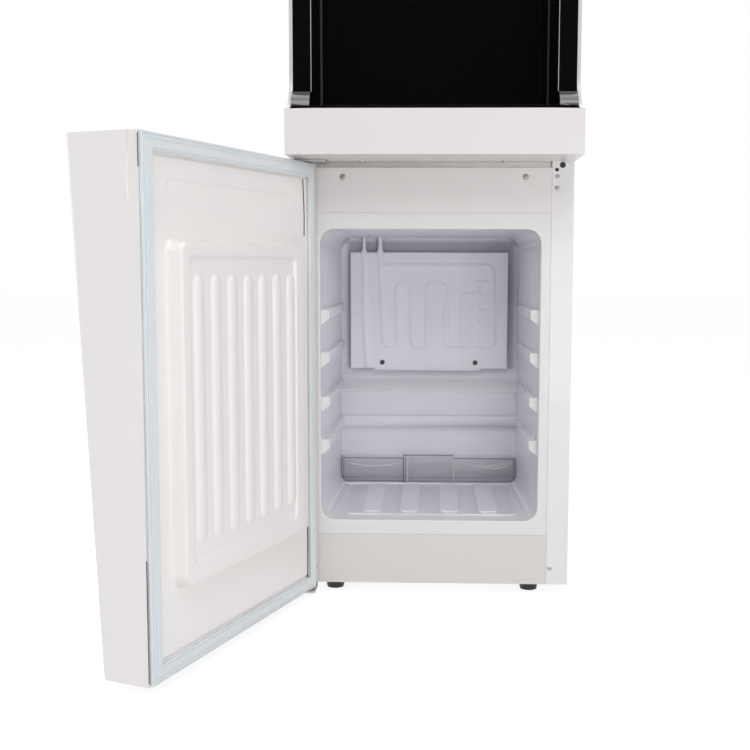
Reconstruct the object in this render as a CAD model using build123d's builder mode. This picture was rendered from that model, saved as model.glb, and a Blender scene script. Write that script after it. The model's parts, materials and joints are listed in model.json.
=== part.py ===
from build123d import *
import os
from math import cos, radians, sin

os.makedirs("parts", exist_ok=True)

# Point-of-use water cooler with a small fridge, drawn with its fridge door standing open.
# Millimetres. Origin on the floor, midway between the four feet. X to the right, Y to the back, Z up.

# Overall sizes
body_width = 310.0
body_depth = 260.0
sheet = 1.2
fold_width = 24.5
upper_fold_width = 12.0
rear_fold_width = 15.0
fit_gap = 0.2
plastic_wall = 2.5
half_width = body_width / 2
inner_half = half_width - sheet
front = -body_depth / 2
back = body_depth / 2
rear_panel_y = back - sheet

# Heights of the sections, stacked up from the floor
foot_height = 12.0
lower_panel_height = 57.0
flange_below = 16.4
cavity_height = 330.0
flange_above = 18.0
upper_panel_height = 49.5
hinge_space = 6.7
ledge_height = 46.6
niche_height = 323.8
head_height = 124.0
cover_height = 26.0
insulation_above = 26.6
machine_height = 188.0
base_z = foot_height
lower_panel_top_z = base_z + lower_panel_height
cavity_bottom_z = lower_panel_top_z + flange_below
cavity_top_z = cavity_bottom_z + cavity_height
upper_panel_bottom_z = cavity_top_z + flange_above
upper_panel_top_z = upper_panel_bottom_z + upper_panel_height
ledge_bottom_z = upper_panel_top_z + hinge_space
ledge_top_z = ledge_bottom_z + ledge_height
fascia_bottom_z = ledge_top_z + niche_height
head_top_z = fascia_bottom_z + head_height
deck_z = cavity_top_z + insulation_above
tank_shelf_z = deck_z + machine_height

# Fridge cavity, seen from the front
cavity_margin_left = 28.0
cavity_margin_right = 35.5
cavity_left = -half_width + cavity_margin_left
cavity_right = half_width - cavity_margin_right
cavity_depth = 208.0
cavity_back_y = front + cavity_depth
cavity_corner_r = 16.0
draft_left = 5.5
draft_right = 8.6
draft_top = 4.2
liner_wall = 1.6
lip_r = 1.4

# Door and its hinges
door_gap = 4.9
door_top_thick = 74.7
door_bottom_thick = 49.2
door_drop = 2.5
door_wall = 2.2
door_edge_r = 4.0
hinge_inset = 9.5
hinge_set_out = 14.5
hinge_plate = 2.0
hinge_clear = 0.7
hinge_to_ledge = 0.4
door_rest_angle = 111.1
pin_r = 3.0
pin_clearance = 0.05
bush_r = 5.0
hinge_x = -half_width + hinge_inset
hinge_y = front - hinge_set_out
top_plate_z = ledge_bottom_z - hinge_to_ledge - hinge_plate
door_top_z = top_plate_z - hinge_clear
door_bottom_z = base_z - door_drop
bottom_plate_z = door_bottom_z - hinge_clear - hinge_plate

# How far the closed door's inner sheet reaches into the cavity, and the room it leaves
plateau_out = 10.0
plateau_clear = 1.0

# Ledge, niche and head
ledge_reach = 77.0
ledge_sweep = 3.0
ledge_crease_inset = 33.3
niche_depth = 68.0
niche_inset = 23.5
tray_inset = 6.5
pillar_set_out = 34.0
frame_thick = 3.8
tap_pitch = 70.0
ledge_front_y = front - ledge_reach
ledge_crease_x = half_width - ledge_crease_inset
niche_half_width = half_width - niche_inset
tray_half_width = niche_half_width - tray_inset

standing = (Align.CENTER, Align.CENTER, Align.MIN)
pieces = {}
door_pieces = {}


def block(x, y, z, mode=Mode.ADD):
    """Box between the pairs of limits x, y and z."""
    with Locations(((x[0] + x[1]) / 2, (y[0] + y[1]) / 2, (z[0] + z[1]) / 2)):
        Box(abs(x[1] - x[0]), abs(y[1] - y[0]), abs(z[1] - z[0]), mode=mode)


def rod(start, end, radius, mode=Mode.ADD):
    """Cylinder from one point to another."""
    way = Vector(*end) - Vector(*start)
    with Locations(Plane(origin=start, z_dir=way)):
        Cylinder(radius, way.length, align=standing, mode=mode)


def cone(start, end, start_r, end_r, mode=Mode.ADD):
    """Cone between two points."""
    way = Vector(*end) - Vector(*start)
    with Locations(Plane(origin=start, z_dir=way)):
        Cone(start_r, end_r, way.length, align=standing, mode=mode)


def slab(x, y, z, corner, mode=Mode.ADD):
    """Upright-sided plate with rounded corners in plan."""
    with BuildSketch(Plane.XY.offset(z[0])) as plan:
        with Locations(((x[0] + x[1]) / 2, (y[0] + y[1]) / 2)):
            RectangleRounded(x[1] - x[0], y[1] - y[0], corner)
    extrude(plan.sketch, amount=z[1] - z[0], mode=mode)


def front_sheet(x, z, corner, y):
    """Rounded rectangle drawn on an upright plane at depth y."""
    with BuildSketch(Plane.XZ.offset(-y)) as drawn:
        with Locations(((x[0] + x[1]) / 2, (z[0] + z[1]) / 2)):
            RectangleRounded(x[1] - x[0], z[1] - z[0], corner)
    return drawn.sketch


def front_slab(x, y, z, corner, mode=Mode.ADD):
    """Plate standing across the body, with rounded corners as seen from the front."""
    extrude(front_sheet(x, z, corner, y[0]), amount=-(y[1] - y[0]), mode=mode)


def front_loft(near, far, mode=Mode.ADD):
    """Tapered body between two rounded rectangles, each given as x, z, corner and y."""
    loft([front_sheet(*near).face(), front_sheet(*far).face()], mode=mode)


def side_profile(points, x, mode=Mode.ADD):
    """Outline of points (y, z) swept across the body between the limits x."""
    with BuildSketch(Plane.YZ.offset(x[0])) as outline:
        with BuildLine():
            Polyline(points, close=True)
        make_face()
    extrude(outline.sketch, amount=x[1] - x[0], mode=mode)


def tube(points, bend, radius, mode=Mode.ADD):
    """Round tube along straight runs joined by arcs."""
    with BuildLine() as route:
        FilletPolyline(*points, radius=bend)
    with BuildSketch(Plane(origin=points[0], z_dir=route.line % 0)) as section:
        Circle(radius)
    sweep(section.sketch, path=route.line, mode=mode)


# Small screws used all over the cooler
screw_r = 1.5
screw_hole_r = screw_r + fit_gap / 2
screw_head_r = 3.2
screw_head = 1.4
screw_length = 6.0
flat_head_r = 3.0
flat_head = 1.1
cross_long = 3.2
cross_wide = 0.7
strip_screws = ((half_width - 18.6, upper_panel_top_z - 9.5), (half_width - 18.8, upper_panel_top_z - 22.1),
                (half_width - 20.5, base_z + 18.7))
rear_screw_inset = 7.5
rear_screw_heights = (base_z + 48.0, deck_z - 22.0, tank_shelf_z - 10.0, head_top_z - 24.0)
rear_screws = [(side * (half_width - rear_screw_inset), z) for side in (-1, 1) for z in rear_screw_heights]

# Base tray, feet and their screws
base_flange = 24.0
frame_set_back = 5.0
foot_x = half_width - 42.0
foot_y = body_depth / 2 - 25.0
foot_top_r = 12.0
foot_bottom_r = 9.6
foot_recess_r = 5.5
foot_recess = 4.0
foot_screw_r = 2.5
foot_head_r = 4.4
foot_head = 3.4
foot_nut = 4.0
foot_places = [(x, y) for x in (-foot_x, foot_x) for y in (-foot_y, foot_y)]
frame_y = front + frame_set_back
rear_inner_y = rear_panel_y - sheet - fit_gap

with BuildPart() as base_tray:
    inside_x = (-inner_half + fit_gap, inner_half - fit_gap)
    block(inside_x, (frame_y, rear_inner_y), (base_z, base_z + sheet))
    for limit in (frame_y, rear_inner_y - sheet):
        block(inside_x, (limit, limit + sheet), (base_z, base_z + base_flange))
    for side in (-1, 1):
        edge = side * (inner_half - fit_gap)
        block(sorted((edge, edge - side * sheet)), (frame_y, rear_inner_y), (base_z, base_z + base_flange))
    for x, y in foot_places:
        rod((x, y, base_z), (x, y, base_z + sheet + foot_nut), foot_head_r)
        rod((x, y, base_z), (x, y, base_z + sheet + foot_nut), foot_screw_r + fit_gap / 2, Mode.SUBTRACT)
    for x, z in strip_screws:
        for side in (-1, 1):
            rod((side * x, frame_y - 1, z), (side * x, frame_y + 3, z), screw_hole_r, Mode.SUBTRACT)
pieces["base_tray"] = base_tray

with BuildPart() as feet:
    for x, y in foot_places:
        cone((x, y, 0), (x, y, foot_height), foot_bottom_r, foot_top_r)
    for x, y in foot_places:
        rod((x, y, 0), (x, y, foot_recess), foot_recess_r, Mode.SUBTRACT)
        rod((x, y, 0), (x, y, foot_recess + foot_head + fit_gap), foot_head_r + fit_gap, Mode.SUBTRACT)
        rod((x, y, 0), (x, y, foot_height), foot_screw_r + fit_gap / 2, Mode.SUBTRACT)
pieces["feet"] = feet

with BuildPart() as foot_screws:
    for x, y in foot_places:
        head_top = foot_recess + foot_head + fit_gap
        rod((x, y, head_top - foot_head), (x, y, head_top), foot_head_r)
        rod((x, y, head_top), (x, y, base_z + sheet + foot_nut + 1), foot_screw_r)
        slot = (head_top - foot_head, head_top - foot_head + 1)
        block((x - 0.6, x + 0.6), (y - 3, y + 3), slot, Mode.SUBTRACT)
pieces["foot_screws"] = foot_screws

# Hinges, one plate above the door and one below, each with a leg behind the front sheets
hinge_reach = 26.0
hinge_leg = 32.0
hinge_leg_y = front + sheet
hinge_left = -half_width + 2.5
hinge_right = -half_width + 37.0
hinge_leg_right = -half_width + 23.5
hinge_corner_r = 1.8
pin_length = 12.0


def hinge(plate_bottom, plate_right, upward):
    """Angle plate with a pin that reaches towards the door."""
    plate_top = plate_bottom + hinge_plate
    plate_y = (front - hinge_reach, hinge_leg_y + hinge_plate)
    slab((hinge_left, plate_right), plate_y, (plate_bottom, plate_top), hinge_corner_r)
    leg = (plate_bottom, plate_bottom + hinge_leg) if upward else (plate_top - hinge_leg, plate_top)
    block((hinge_left + 2, hinge_leg_right), (hinge_leg_y, hinge_leg_y + hinge_plate), leg)
    reach = plate_top + pin_length if upward else plate_bottom - pin_length
    rod((hinge_x, hinge_y, plate_bottom if upward else plate_top), (hinge_x, hinge_y, reach), pin_r)
    for x, z in strip_screws:
        rod((-x, front, z), (-x, front + 9, z), screw_hole_r, Mode.SUBTRACT)


with BuildPart() as hinge_top:
    hinge(top_plate_z, hinge_right, False)
pieces["hinge_top"] = hinge_top

with BuildPart() as hinge_bottom:
    hinge(bottom_plate_z, hinge_leg_right, True)
pieces["hinge_bottom"] = hinge_bottom

# Side sheets with their folds
strip_hole = (half_width - 19.3, upper_panel_top_z - 2.1, 2.2)
strip_plug = (half_width - 13.1, upper_panel_top_z + 3.0, 3.4)
bump = (half_width - 12.0, upper_panel_top_z - 28.7)
bump_r = 2.4
bump_rise = 0.2
bend_r = 1.1


def side_sheet(side):
    """Bent steel side with folds along its front and back edges."""
    outer = side * half_width
    block(sorted((outer, side * inner_half)), (front, back), (base_z, head_top_z))
    block(sorted((outer, side * (half_width - fold_width))), (front, front + sheet), (base_z, ledge_bottom_z))
    upper = sorted((outer, side * (half_width - upper_fold_width)))
    block(upper, (front, front + sheet), (ledge_bottom_z, head_top_z))
    rear = sorted((outer, side * (half_width - rear_fold_width)))
    block(rear, (rear_panel_y - sheet, rear_panel_y), (base_z, head_top_z))
    block(sorted((outer, side * inner_half)), (rear_panel_y, back), (base_z, head_top_z))
    uprights = edges().filter_by(Axis.Z).filter_by(lambda e: abs(e.center().X - outer) < 0.01)
    uprights = uprights.filter_by(lambda e: e.length > foot_height + lower_panel_height)
    fillet(uprights, bend_r)
    for x, z in strip_screws:
        x = side * x
        sunk_y = front + flat_head + fit_gap
        cone((x, front, z), (x, sunk_y, z), flat_head_r + fit_gap, screw_hole_r, Mode.SUBTRACT)
        rod((x, front, z), (x, front + 3, z), screw_hole_r, Mode.SUBTRACT)
    for x, z in rear_screws:
        rod((x, rear_panel_y - 3, z), (x, back, z), screw_hole_r, Mode.SUBTRACT)


with BuildPart() as side_panel_left:
    side_sheet(-1)
    notch = (top_plate_z - fit_gap, ledge_bottom_z)
    block((-inner_half, hinge_right), (front - 1, front + 4), notch, Mode.SUBTRACT)
pieces["side_panel_left"] = side_panel_left

with BuildPart() as side_panel_right:
    side_sheet(1)
    for x, z, r in (strip_hole, strip_plug):
        rod((x, front - 1, z), (x, front + sheet + 1, z), r, Mode.SUBTRACT)
    rod((bump[0], front - bump_rise, bump[1]), (bump[0], front + sheet, bump[1]), bump_r)
pieces["side_panel_right"] = side_panel_right

# Fridge liner with its shelf rails, back ledge and ribbed floor
flange_half = half_width - fold_width - fit_gap
rail_width = 9.4
rail_height = 19.0
rail_flat = 10.0
rail_tops = [cavity_bottom_z + rise for rise in (239.6, 191.0, 140.2, 90.8)]
rail_start = plateau_out + plateau_clear
ledge_band = 13.5
ledge_band_out = 8.0
floor_rise = 1.5
rib_rise = 2.4
floor_pad_x = (cavity_left + 24.0, cavity_right - 22.0)
floor_pad_y = (front + 24.0, front + 186.0)
floor_pad_r = 9.0
rib_r = 5.0
rib_inset = 7.0
floor_ribs = ((-82.0, -60.0), (-38.0, -16.0), (9.5, 31.5), (54.0, 76.0))
seat_set_back = 187.0
seat_rise = floor_rise + rib_rise
evaporator_y = cavity_back_y - 10.0
plate_thick = 1.5
plate_x = (cavity_left + 18.5, cavity_right - 22.1)
plate_z = (cavity_top_z - 175.5, cavity_top_z - 23.3)
plate_screws = ((plate_x[0] + 41.6, plate_z[0] + 8.0), (plate_x[0] + 164.0, plate_z[0] + 8.0))
plate_pegs = ((plate_x[0] + 68.5, plate_z[1] - 8.0), (plate_x[0] + 165.2, plate_z[1] - 8.0))
feed_left = (plate_x[0] + 17.9, 1.9)
feed_right = (plate_x[0] + 38.9, 2.6)
boss_r = 5.0


def grown(pair, by):
    """Limits moved apart by the same amount at both ends."""
    return (pair[0] - by, pair[1] + by)


def cavity_form(by):
    """Cavity space with leaning walls, grown by a wall all round, from the front plane backwards."""
    far_y = cavity_back_y + by
    plan = ((cavity_left - by, front), (cavity_right + by, front),
            (cavity_right - draft_right + by, far_y), (cavity_left + draft_left - by, far_y))
    with BuildSketch(Plane.XY.offset(cavity_bottom_z - by)) as floor_plan:
        with BuildLine():
            Polyline(plan, close=True)
        make_face()
    extrude(floor_plan.sketch, amount=cavity_top_z - cavity_bottom_z + 2 * by)
    outline = ((front, cavity_bottom_z - by), (far_y, cavity_bottom_z - by),
               (far_y, cavity_top_z - draft_top + by), (front, cavity_top_z + by))
    side_profile(outline, grown((cavity_left, cavity_right), by), Mode.INTERSECT)
    long_edges = edges().filter_by(lambda e: e.length > cavity_depth - 1 and abs((e % 0.5).Y) > 0.9)
    fillet(long_edges, cavity_corner_r + by)


with BuildPart() as cavity_space:
    cavity_form(0)
with BuildPart() as cavity_limit:
    cavity_form(liner_wall - fit_gap)
with BuildPart() as cavity_outside:
    cavity_form(liner_wall)
with BuildPart() as cavity_hollow:
    cavity_form(liner_wall + fit_gap)

with BuildPart() as cavity_inside:
    for top in rail_tops:
        for side in (-1, 1):
            wall = cavity_left - liner_wall if side < 0 else cavity_right + liner_wall
            tip = (cavity_left + rail_width) if side < 0 else (cavity_right - rail_width)
            with BuildSketch(Plane.XZ.offset(-(front + rail_start))):
                with BuildLine():
                    Polyline((wall, top), (tip, top), (tip, top - rail_flat), (wall, top - rail_height),
                             close=True)
                make_face()
            extrude(amount=-(cavity_depth - rail_start))
    band_top = rail_tops[-1]
    band_y = (cavity_back_y - ledge_band_out, cavity_back_y + liner_wall)
    block((cavity_left, cavity_right), band_y, (band_top - ledge_band, band_top))
    floor_z = cavity_bottom_z
    slab(floor_pad_x, floor_pad_y, (floor_z - liner_wall, floor_z + floor_rise), floor_pad_r)
    for rib in floor_ribs:
        slab(rib, grown(floor_pad_y, -rib_inset), (floor_z, floor_z + floor_rise + rib_rise), rib_r)
    seat_z = (floor_z - liner_wall, floor_z + seat_rise)
    block((cavity_left, cavity_right), (front + seat_set_back, cavity_back_y + liner_wall), seat_z)
    for x, z in plate_screws + plate_pegs:
        rod((x, evaporator_y + plate_thick, z), (x, cavity_back_y + liner_wall, z), boss_r)
    add(cavity_limit.part, mode=Mode.INTERSECT)

with BuildPart() as cabinet_liner:
    liner_z = (lower_panel_top_z + fit_gap, upper_panel_bottom_z - fit_gap)
    block((-flange_half, flange_half), (front, front + liner_wall), liner_z)
    add(cavity_outside.part)
    add(cavity_space.part, mode=Mode.SUBTRACT)
    mouth = edges().filter_by(lambda e: abs(e.center().Y - front) < 0.01)
    mouth = mouth.filter_by(lambda e: cavity_bottom_z - 1 < e.center().Z < cavity_top_z + 1)
    mouth = mouth.filter_by(lambda e: cavity_left - 1 < e.center().X < cavity_right + 1)
    fillet(mouth, lip_r)
    add(cavity_inside.part)
    for x, z in plate_screws:
        rod((x, evaporator_y, z), (x, evaporator_y + 9, z), screw_hole_r, Mode.SUBTRACT)
    for x, r in (feed_left, feed_right):
        rod((x, evaporator_y, plate_pegs[0][1]), (x, evaporator_y, deck_z), r + fit_gap, Mode.SUBTRACT)
pieces["cabinet_liner"] = cabinet_liner

# Insulation between the liner and the outer sheets
foam_bottom_z = base_z + base_flange + fit_gap
foam_front_y = frame_y + sheet + fit_gap
foam_back_y = rear_inner_y
with BuildPart() as cabinet_foam:
    block(inside_x, (foam_front_y, foam_back_y), (foam_bottom_z, deck_z - fit_gap))
    pad = grown((-flange_half, flange_half), -fit_gap)
    block(pad, (front + liner_wall + fit_gap, foam_front_y), grown(liner_z, -fit_gap))
    add(cavity_hollow.part, mode=Mode.SUBTRACT)
    for x, r in (feed_left, feed_right):
        rod((x, evaporator_y, cavity_top_z - 10), (x, evaporator_y, deck_z + 1), r + fit_gap, Mode.SUBTRACT)
    for x, z in rear_screws:
        rod((x, back - screw_length - 1, z), (x, back, z), screw_hole_r, Mode.SUBTRACT)
pieces["cabinet_foam"] = cabinet_foam

# Front strips above and below the fridge mouth
panel_thick = plastic_wall
upper_screw_x = 101.4
upper_screws = ((-upper_screw_x, upper_panel_top_z - 9.8), (upper_screw_x, upper_panel_top_z - 9.8))
head_recess = screw_head + fit_gap / 2
head_recess_r = screw_head_r + fit_gap
lower_boss_x = 92.0
lower_boss_z = base_z + 10.0
boss_out_r = 4.6


def front_strip(z, bosses):
    """Moulded strip with standing bosses behind it."""
    front_slab((-flange_half, flange_half), (front, front + panel_thick), z, 1.0)
    for x, z_boss in bosses:
        rod((x, front + 1, z_boss), (x, frame_y, z_boss), boss_out_r)


with BuildPart() as upper_front_panel:
    front_strip((upper_panel_bottom_z, upper_panel_top_z), upper_screws)
    for x, z in upper_screws:
        rod((x, front - 1, z), (x, frame_y + 1, z), screw_hole_r, Mode.SUBTRACT)
        rod((x, front - 1, z), (x, front + head_recess, z), head_recess_r, Mode.SUBTRACT)
pieces["upper_front_panel"] = upper_front_panel

with BuildPart() as lower_front_panel:
    bosses = [(-lower_boss_x, lower_boss_z), (lower_boss_x, lower_boss_z)]
    front_strip((base_z, lower_panel_top_z), bosses)
pieces["lower_front_panel"] = lower_front_panel

# Steel deck over the insulation, which carries the compressor
deck_front_top_z = ledge_bottom_z - fit_gap
grommet_x = 58.0
grommet_y = 46.0
compressor_x = half_width - 103.0
compressor_y = back - 74.0
grommet_places = [(compressor_x + i * grommet_x, compressor_y + j * grommet_y)
                  for i in (-1, 1) for j in (-1, 1)]
grommet_stud_r = 2.5
grommet_stud = 20.0
with BuildPart() as deck:
    block(inside_x, (frame_y, foam_back_y), (deck_z, deck_z + sheet))
    block(inside_x, (frame_y, frame_y + sheet), (deck_z, deck_front_top_z))
    for x, z in upper_screws + strip_screws + tuple((-x, z) for x, z in strip_screws):
        rod((x, frame_y - 1, z), (x, frame_y + 3, z), screw_hole_r, Mode.SUBTRACT)
    for x, y in grommet_places:
        rod((x, y, deck_z), (x, y, deck_z + sheet + grommet_stud), grommet_stud_r)
    for x, r in (feed_left, feed_right):
        rod((x, evaporator_y, deck_z - 1), (x, evaporator_y, deck_z + sheet + 1), r + fit_gap, Mode.SUBTRACT)
pieces["deck"] = deck

# Evaporator plate with its embossed channels and the two tubes that feed it
channel_width = 3.8
thin_channel = 2.4
channel_bend = 3.0
channel_rise = 1.3
loops = ((57.8, 85.4), (99.3, 126.8))
loop_top = 115.1
loop_bottom = 26.1
foot_rise = 6.0
feed_top_z = deck_z + 8.0
feed_flare = 1.8
cell_width = 14.5
cell_height = 13.0
cells = [(left + cell_width / 2, 39.1 + 20.0 * row) for row in range(4) for left in (148.5, 169.7)]
plate_tongue_x = (plate_x[0] + 30.5, plate_x[1] - 35.4)
plate_tongue = 2.4
bracket_x = (31.4, 174.1)
bracket_out = 3.0
bracket_thick = 1.6
outer_run = (187.9, 138.6)
second_run = (179.7, 131.3)
lower_z = loop_bottom + foot_rise
bent_channels = [
    ([(43.1, 85.1), (43.1, loop_bottom), (loops[0][0], loop_bottom), (loops[0][0], lower_z)], channel_width),
    ([(42.0, outer_run[1]), outer_run, (outer_run[0], loop_bottom), (loops[1][1], loop_bottom),
      (loops[1][1], lower_z)], thin_channel),
    ([(44.0, second_run[1]), second_run, (second_run[0], 122.1)], channel_width),
    ([(loops[0][1], lower_z), (loops[0][1], loop_bottom), (loops[1][0], loop_bottom), (loops[1][0], lower_z)],
     channel_width),
]
bent_channels += [([(left, lower_z), (left, loop_top), (right, loop_top), (right, lower_z)], channel_width)
                  for left, right in loops]
leaning_channels = [
    ([(17.9, 150.1), (18.7, 90.1), (21.5, 50.1), (21.0, 6.1)], thin_channel),
    ([(38.9, 150.1), (39.3, 105.1), (43.1, 85.1)], channel_width),
]

with BuildPart() as evaporator_plate:
    block(plate_x, (evaporator_y, evaporator_y + plate_thick), plate_z)
    block(plate_tongue_x, (evaporator_y, evaporator_y + plate_thick), (plate_z[0] - plate_tongue, plate_z[0]))
    bracket = (plate_x[0] + bracket_x[0], plate_x[0] + bracket_x[1])
    bracket_y = (evaporator_y - bracket_out, evaporator_y + plate_thick)
    block(bracket, bracket_y, (plate_z[0] - bracket_thick, plate_z[0]))
    for x, r in (feed_left, feed_right):
        rod((x, evaporator_y, plate_z[1] - 4), (x, evaporator_y, feed_top_z), r)
        cone((x, evaporator_y, plate_z[1] - 3), (x, evaporator_y, plate_z[1] + 7), r * feed_flare, r)
    corner = (plate_x[0], evaporator_y, plate_z[0])
    with BuildSketch(Plane(origin=corner, x_dir=(1, 0, 0), z_dir=(0, -1, 0))) as embossing:
        for points, width in bent_channels:
            with BuildLine():
                FilletPolyline(*points, radius=channel_bend)
            trace(line_width=width)
        for points, width in leaning_channels:
            with BuildLine():
                Polyline(*points)
            trace(line_width=width)
        with Locations(*cells):
            RectangleRounded(cell_width + thin_channel, cell_height + thin_channel, channel_bend)
        with Locations(*cells):
            RectangleRounded(cell_width - thin_channel, cell_height - thin_channel, channel_bend / 2,
                             mode=Mode.SUBTRACT)
    extrude(embossing.sketch, amount=channel_rise)
    for x, z in plate_screws:
        rod((x, evaporator_y - 1, z), (x, evaporator_y + 4, z), screw_hole_r, Mode.SUBTRACT)
pieces["evaporator_plate"] = evaporator_plate

# Screws: pan heads on the upper strip, the plate, the back and the ledge, flat heads in the two side folds
ledge_screws = (-79.5, 77.9)
ledge_screw_y = front - 4.5


def pan_screw(x, y, z, direction=1):
    """Pan-head screw with a crossed recess, driven along Y from its head face."""
    head_far = y - direction * screw_head
    rod((x, head_far, z), (x, y, z), screw_head_r)
    rod((x, y, z), (x, y + direction * screw_length, z), screw_r)
    cut = sorted((head_far, head_far + direction * screw_head / 2))
    for wide, tall in ((cross_long, cross_wide), (cross_wide, cross_long)):
        block((x - wide / 2, x + wide / 2), cut, (z - tall / 2, z + tall / 2), Mode.SUBTRACT)


with BuildPart() as pan_screws:
    for x, z in upper_screws:
        pan_screw(x, front + head_recess, z)
    for x, z in plate_screws:
        pan_screw(x, evaporator_y, z)
    for x, z in rear_screws:
        pan_screw(x, back, z, -1)
    for x in ledge_screws:
        rod((x, ledge_screw_y, ledge_bottom_z - screw_head), (x, ledge_screw_y, ledge_bottom_z), screw_head_r)
        rod((x, ledge_screw_y, ledge_bottom_z), (x, ledge_screw_y, ledge_bottom_z + screw_length), screw_r)
pieces["pan_screws"] = pan_screws

with BuildPart() as fold_screws:
    for x, z in strip_screws:
        for side in (-1, 1):
            cone((side * x, front, z), (side * x, front + flat_head, z), flat_head_r, screw_r)
            rod((side * x, front, z), (side * x, front + screw_length, z), screw_r)
            for wide, tall in ((cross_long, cross_wide), (cross_wide, cross_long)):
                block((side * x - wide / 2, side * x + wide / 2), (front, front + flat_head / 2),
                      (z - tall / 2, z + tall / 2), Mode.SUBTRACT)
pieces["fold_screws"] = fold_screws

# Shelf of ribbed clear plastic, resting on the third pair of rails
shelf_x = (cavity_left + 6.4, cavity_right - 9.3)
shelf_y = (front + 55.0, evaporator_y - 9.0)
shelf_corner_r = 4.0
shelf_plate = 2.4
shelf_rib = 1.6
shelf_rib_width = 3.0
shelf_ribs = 11
shelf_lip = 4.6
shelf_lip_thick = 3.0
shelf_end = 9.0
shelf_z = rail_tops[2] + fit_gap
with BuildPart() as shelf:
    slab(shelf_x, shelf_y, (shelf_z, shelf_z + shelf_plate), shelf_corner_r)
    rib_pitch = (shelf_y[1] - shelf_y[0] - 2 * shelf_end) / (shelf_ribs - 1)
    for i in range(shelf_ribs):
        y = shelf_y[0] + shelf_end + i * rib_pitch - shelf_rib_width / 2
        top = (shelf_z + shelf_plate, shelf_z + shelf_plate + shelf_rib)
        block(grown(shelf_x, -6), (y, y + shelf_rib_width), top)
    for y in (shelf_y[0], shelf_y[1] - shelf_lip_thick):
        block(grown(shelf_x, -shelf_corner_r), (y, y + shelf_lip_thick), (shelf_z, shelf_z + shelf_lip))
pieces["shelf"] = shelf

# Clear tray at the back of the floor that catches water from the evaporator plate
catch_x = (cavity_left + 6.0, cavity_right - 9.1)
catch_y = (cavity_back_y - 20.0, cavity_back_y - 0.6)
catch_z = (cavity_bottom_z + seat_rise + fit_gap, cavity_bottom_z + 37.1)
catch_wall = 2.0
catch_corner_r = 10.0
catch_tab = (catch_x[0] + 81.8, catch_x[0] + 149.6)
catch_tab_wall = 2.2
catch_tab_out = 2.0
catch_tab_rise = 4.4
with BuildPart() as catch_tray:
    front_slab(catch_x, catch_y, (catch_z[0], catch_z[1] + catch_corner_r), catch_corner_r)
    front_slab(grown(catch_x, -catch_wall), grown(catch_y, -catch_wall),
               (catch_z[0] + catch_wall, catch_z[1] + catch_corner_r + 1), catch_corner_r - catch_wall,
               Mode.SUBTRACT)
    block(grown(catch_x, 1), grown(catch_y, 1), (catch_z[1], catch_z[1] + catch_corner_r + 2), Mode.SUBTRACT)
    tab_y = (catch_y[0] - catch_tab_out, catch_y[0] + catch_wall)
    block(catch_tab, tab_y, (catch_z[0], catch_z[1] + catch_tab_rise))
    block(grown(catch_tab, -catch_tab_wall), (catch_y[0] - catch_tab_out - 1, catch_y[0]),
          (catch_z[0] + catch_tab_wall, catch_z[1] - 1), Mode.SUBTRACT)
pieces["catch_tray"] = catch_tray

# Door, drawn closed: wedge-shaped shell, insulation, moulded inner sheet, seal and bushes
door_rim_y = front - door_gap
door_x = (-half_width, half_width)
grip_depth = 1.4
grip_wide = 11.0
grip_tall = 58.5
grip = ((half_width - grip_depth, half_width + 1), (door_rim_y - grip_wide, door_rim_y + 1),
        (door_top_z - grip_tall, door_top_z + 1))
bush_depth = 13.5
bush_flange = 0.4
hinge_side_gap = 0.4


def wedge(inset, rim_y, mode=Mode.ADD):
    """Door's wedge-shaped body, drawn in from its outer faces by an inset."""
    bottom_y = front - door_gap - door_bottom_thick + inset
    top_y = front - door_gap - door_top_thick + inset
    outline = ((rim_y, door_bottom_z + inset), (bottom_y, door_bottom_z + inset),
               (top_y, door_top_z - inset), (rim_y, door_top_z - inset))
    side_profile(outline, grown(door_x, -inset), mode)


with BuildPart() as door_shell:
    wedge(0, door_rim_y)
    door_face = faces().sort_by(Axis.Y)[0]
    fillet(door_face.edges(), door_edge_r)
    wedge(door_wall, door_rim_y + 1, Mode.SUBTRACT)
    block(*grip, mode=Mode.SUBTRACT)
    rod((hinge_x, hinge_y, door_bottom_z - 1), (hinge_x, hinge_y, door_top_z + 1), bush_r, Mode.SUBTRACT)
door_pieces["door_shell"] = door_shell

with BuildPart() as door_bushes:
    for z, way in ((door_top_z, -1), (door_bottom_z, 1)):
        rod((hinge_x, hinge_y, z), (hinge_x, hinge_y, z + way * bush_depth), bush_r)
        rod((hinge_x, hinge_y, z + way), (hinge_x, hinge_y, z - way * bush_flange), pin_r + 1.6)
        rod((hinge_x, hinge_y, z - way), (hinge_x, hinge_y, z + way * bush_depth), pin_r + pin_clearance,
            Mode.SUBTRACT)
door_pieces["door_bushes"] = door_bushes

# The inner sheet stands in the shell's mouth and swells into the cavity
door_sheet = 1.6
plateau_foot_x = (cavity_left + 16.0, cavity_right + 0.4)
plateau_foot_z = (cavity_bottom_z - 1.2, cavity_top_z - 17.4)
plateau_face_x = (plateau_foot_x[0] + 6.0, plateau_foot_x[1] - 5.4)
plateau_face_z = (plateau_foot_z[0] + 6.0, plateau_foot_z[1] - 3.0)
plateau_foot_r = 16.0
plateau_face_r = 12.0
field_x = (plateau_face_x[0] + 15.2, plateau_face_x[1] - 10.2)
field_z = (plateau_face_z[0] + 14.4, plateau_face_z[1] - 10.8)
field_r = 7.0
field_depth = 2.6
flute_count = 7
flute_inset = (10.2, 16.6)
flute_z = (field_z[0] + 17.5, field_z[1] - 18.4)
flute_width = 15.0
flute_root = 0.4
top_recess_x = (plateau_foot_x[0] + 4.6, plateau_foot_x[1] - 4.0)
top_recess_z = (door_top_z - 52.0, door_top_z - 36.5)
top_recess_depth = 0.8
sheet_y = door_rim_y
plateau_y = front + plateau_out

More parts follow.
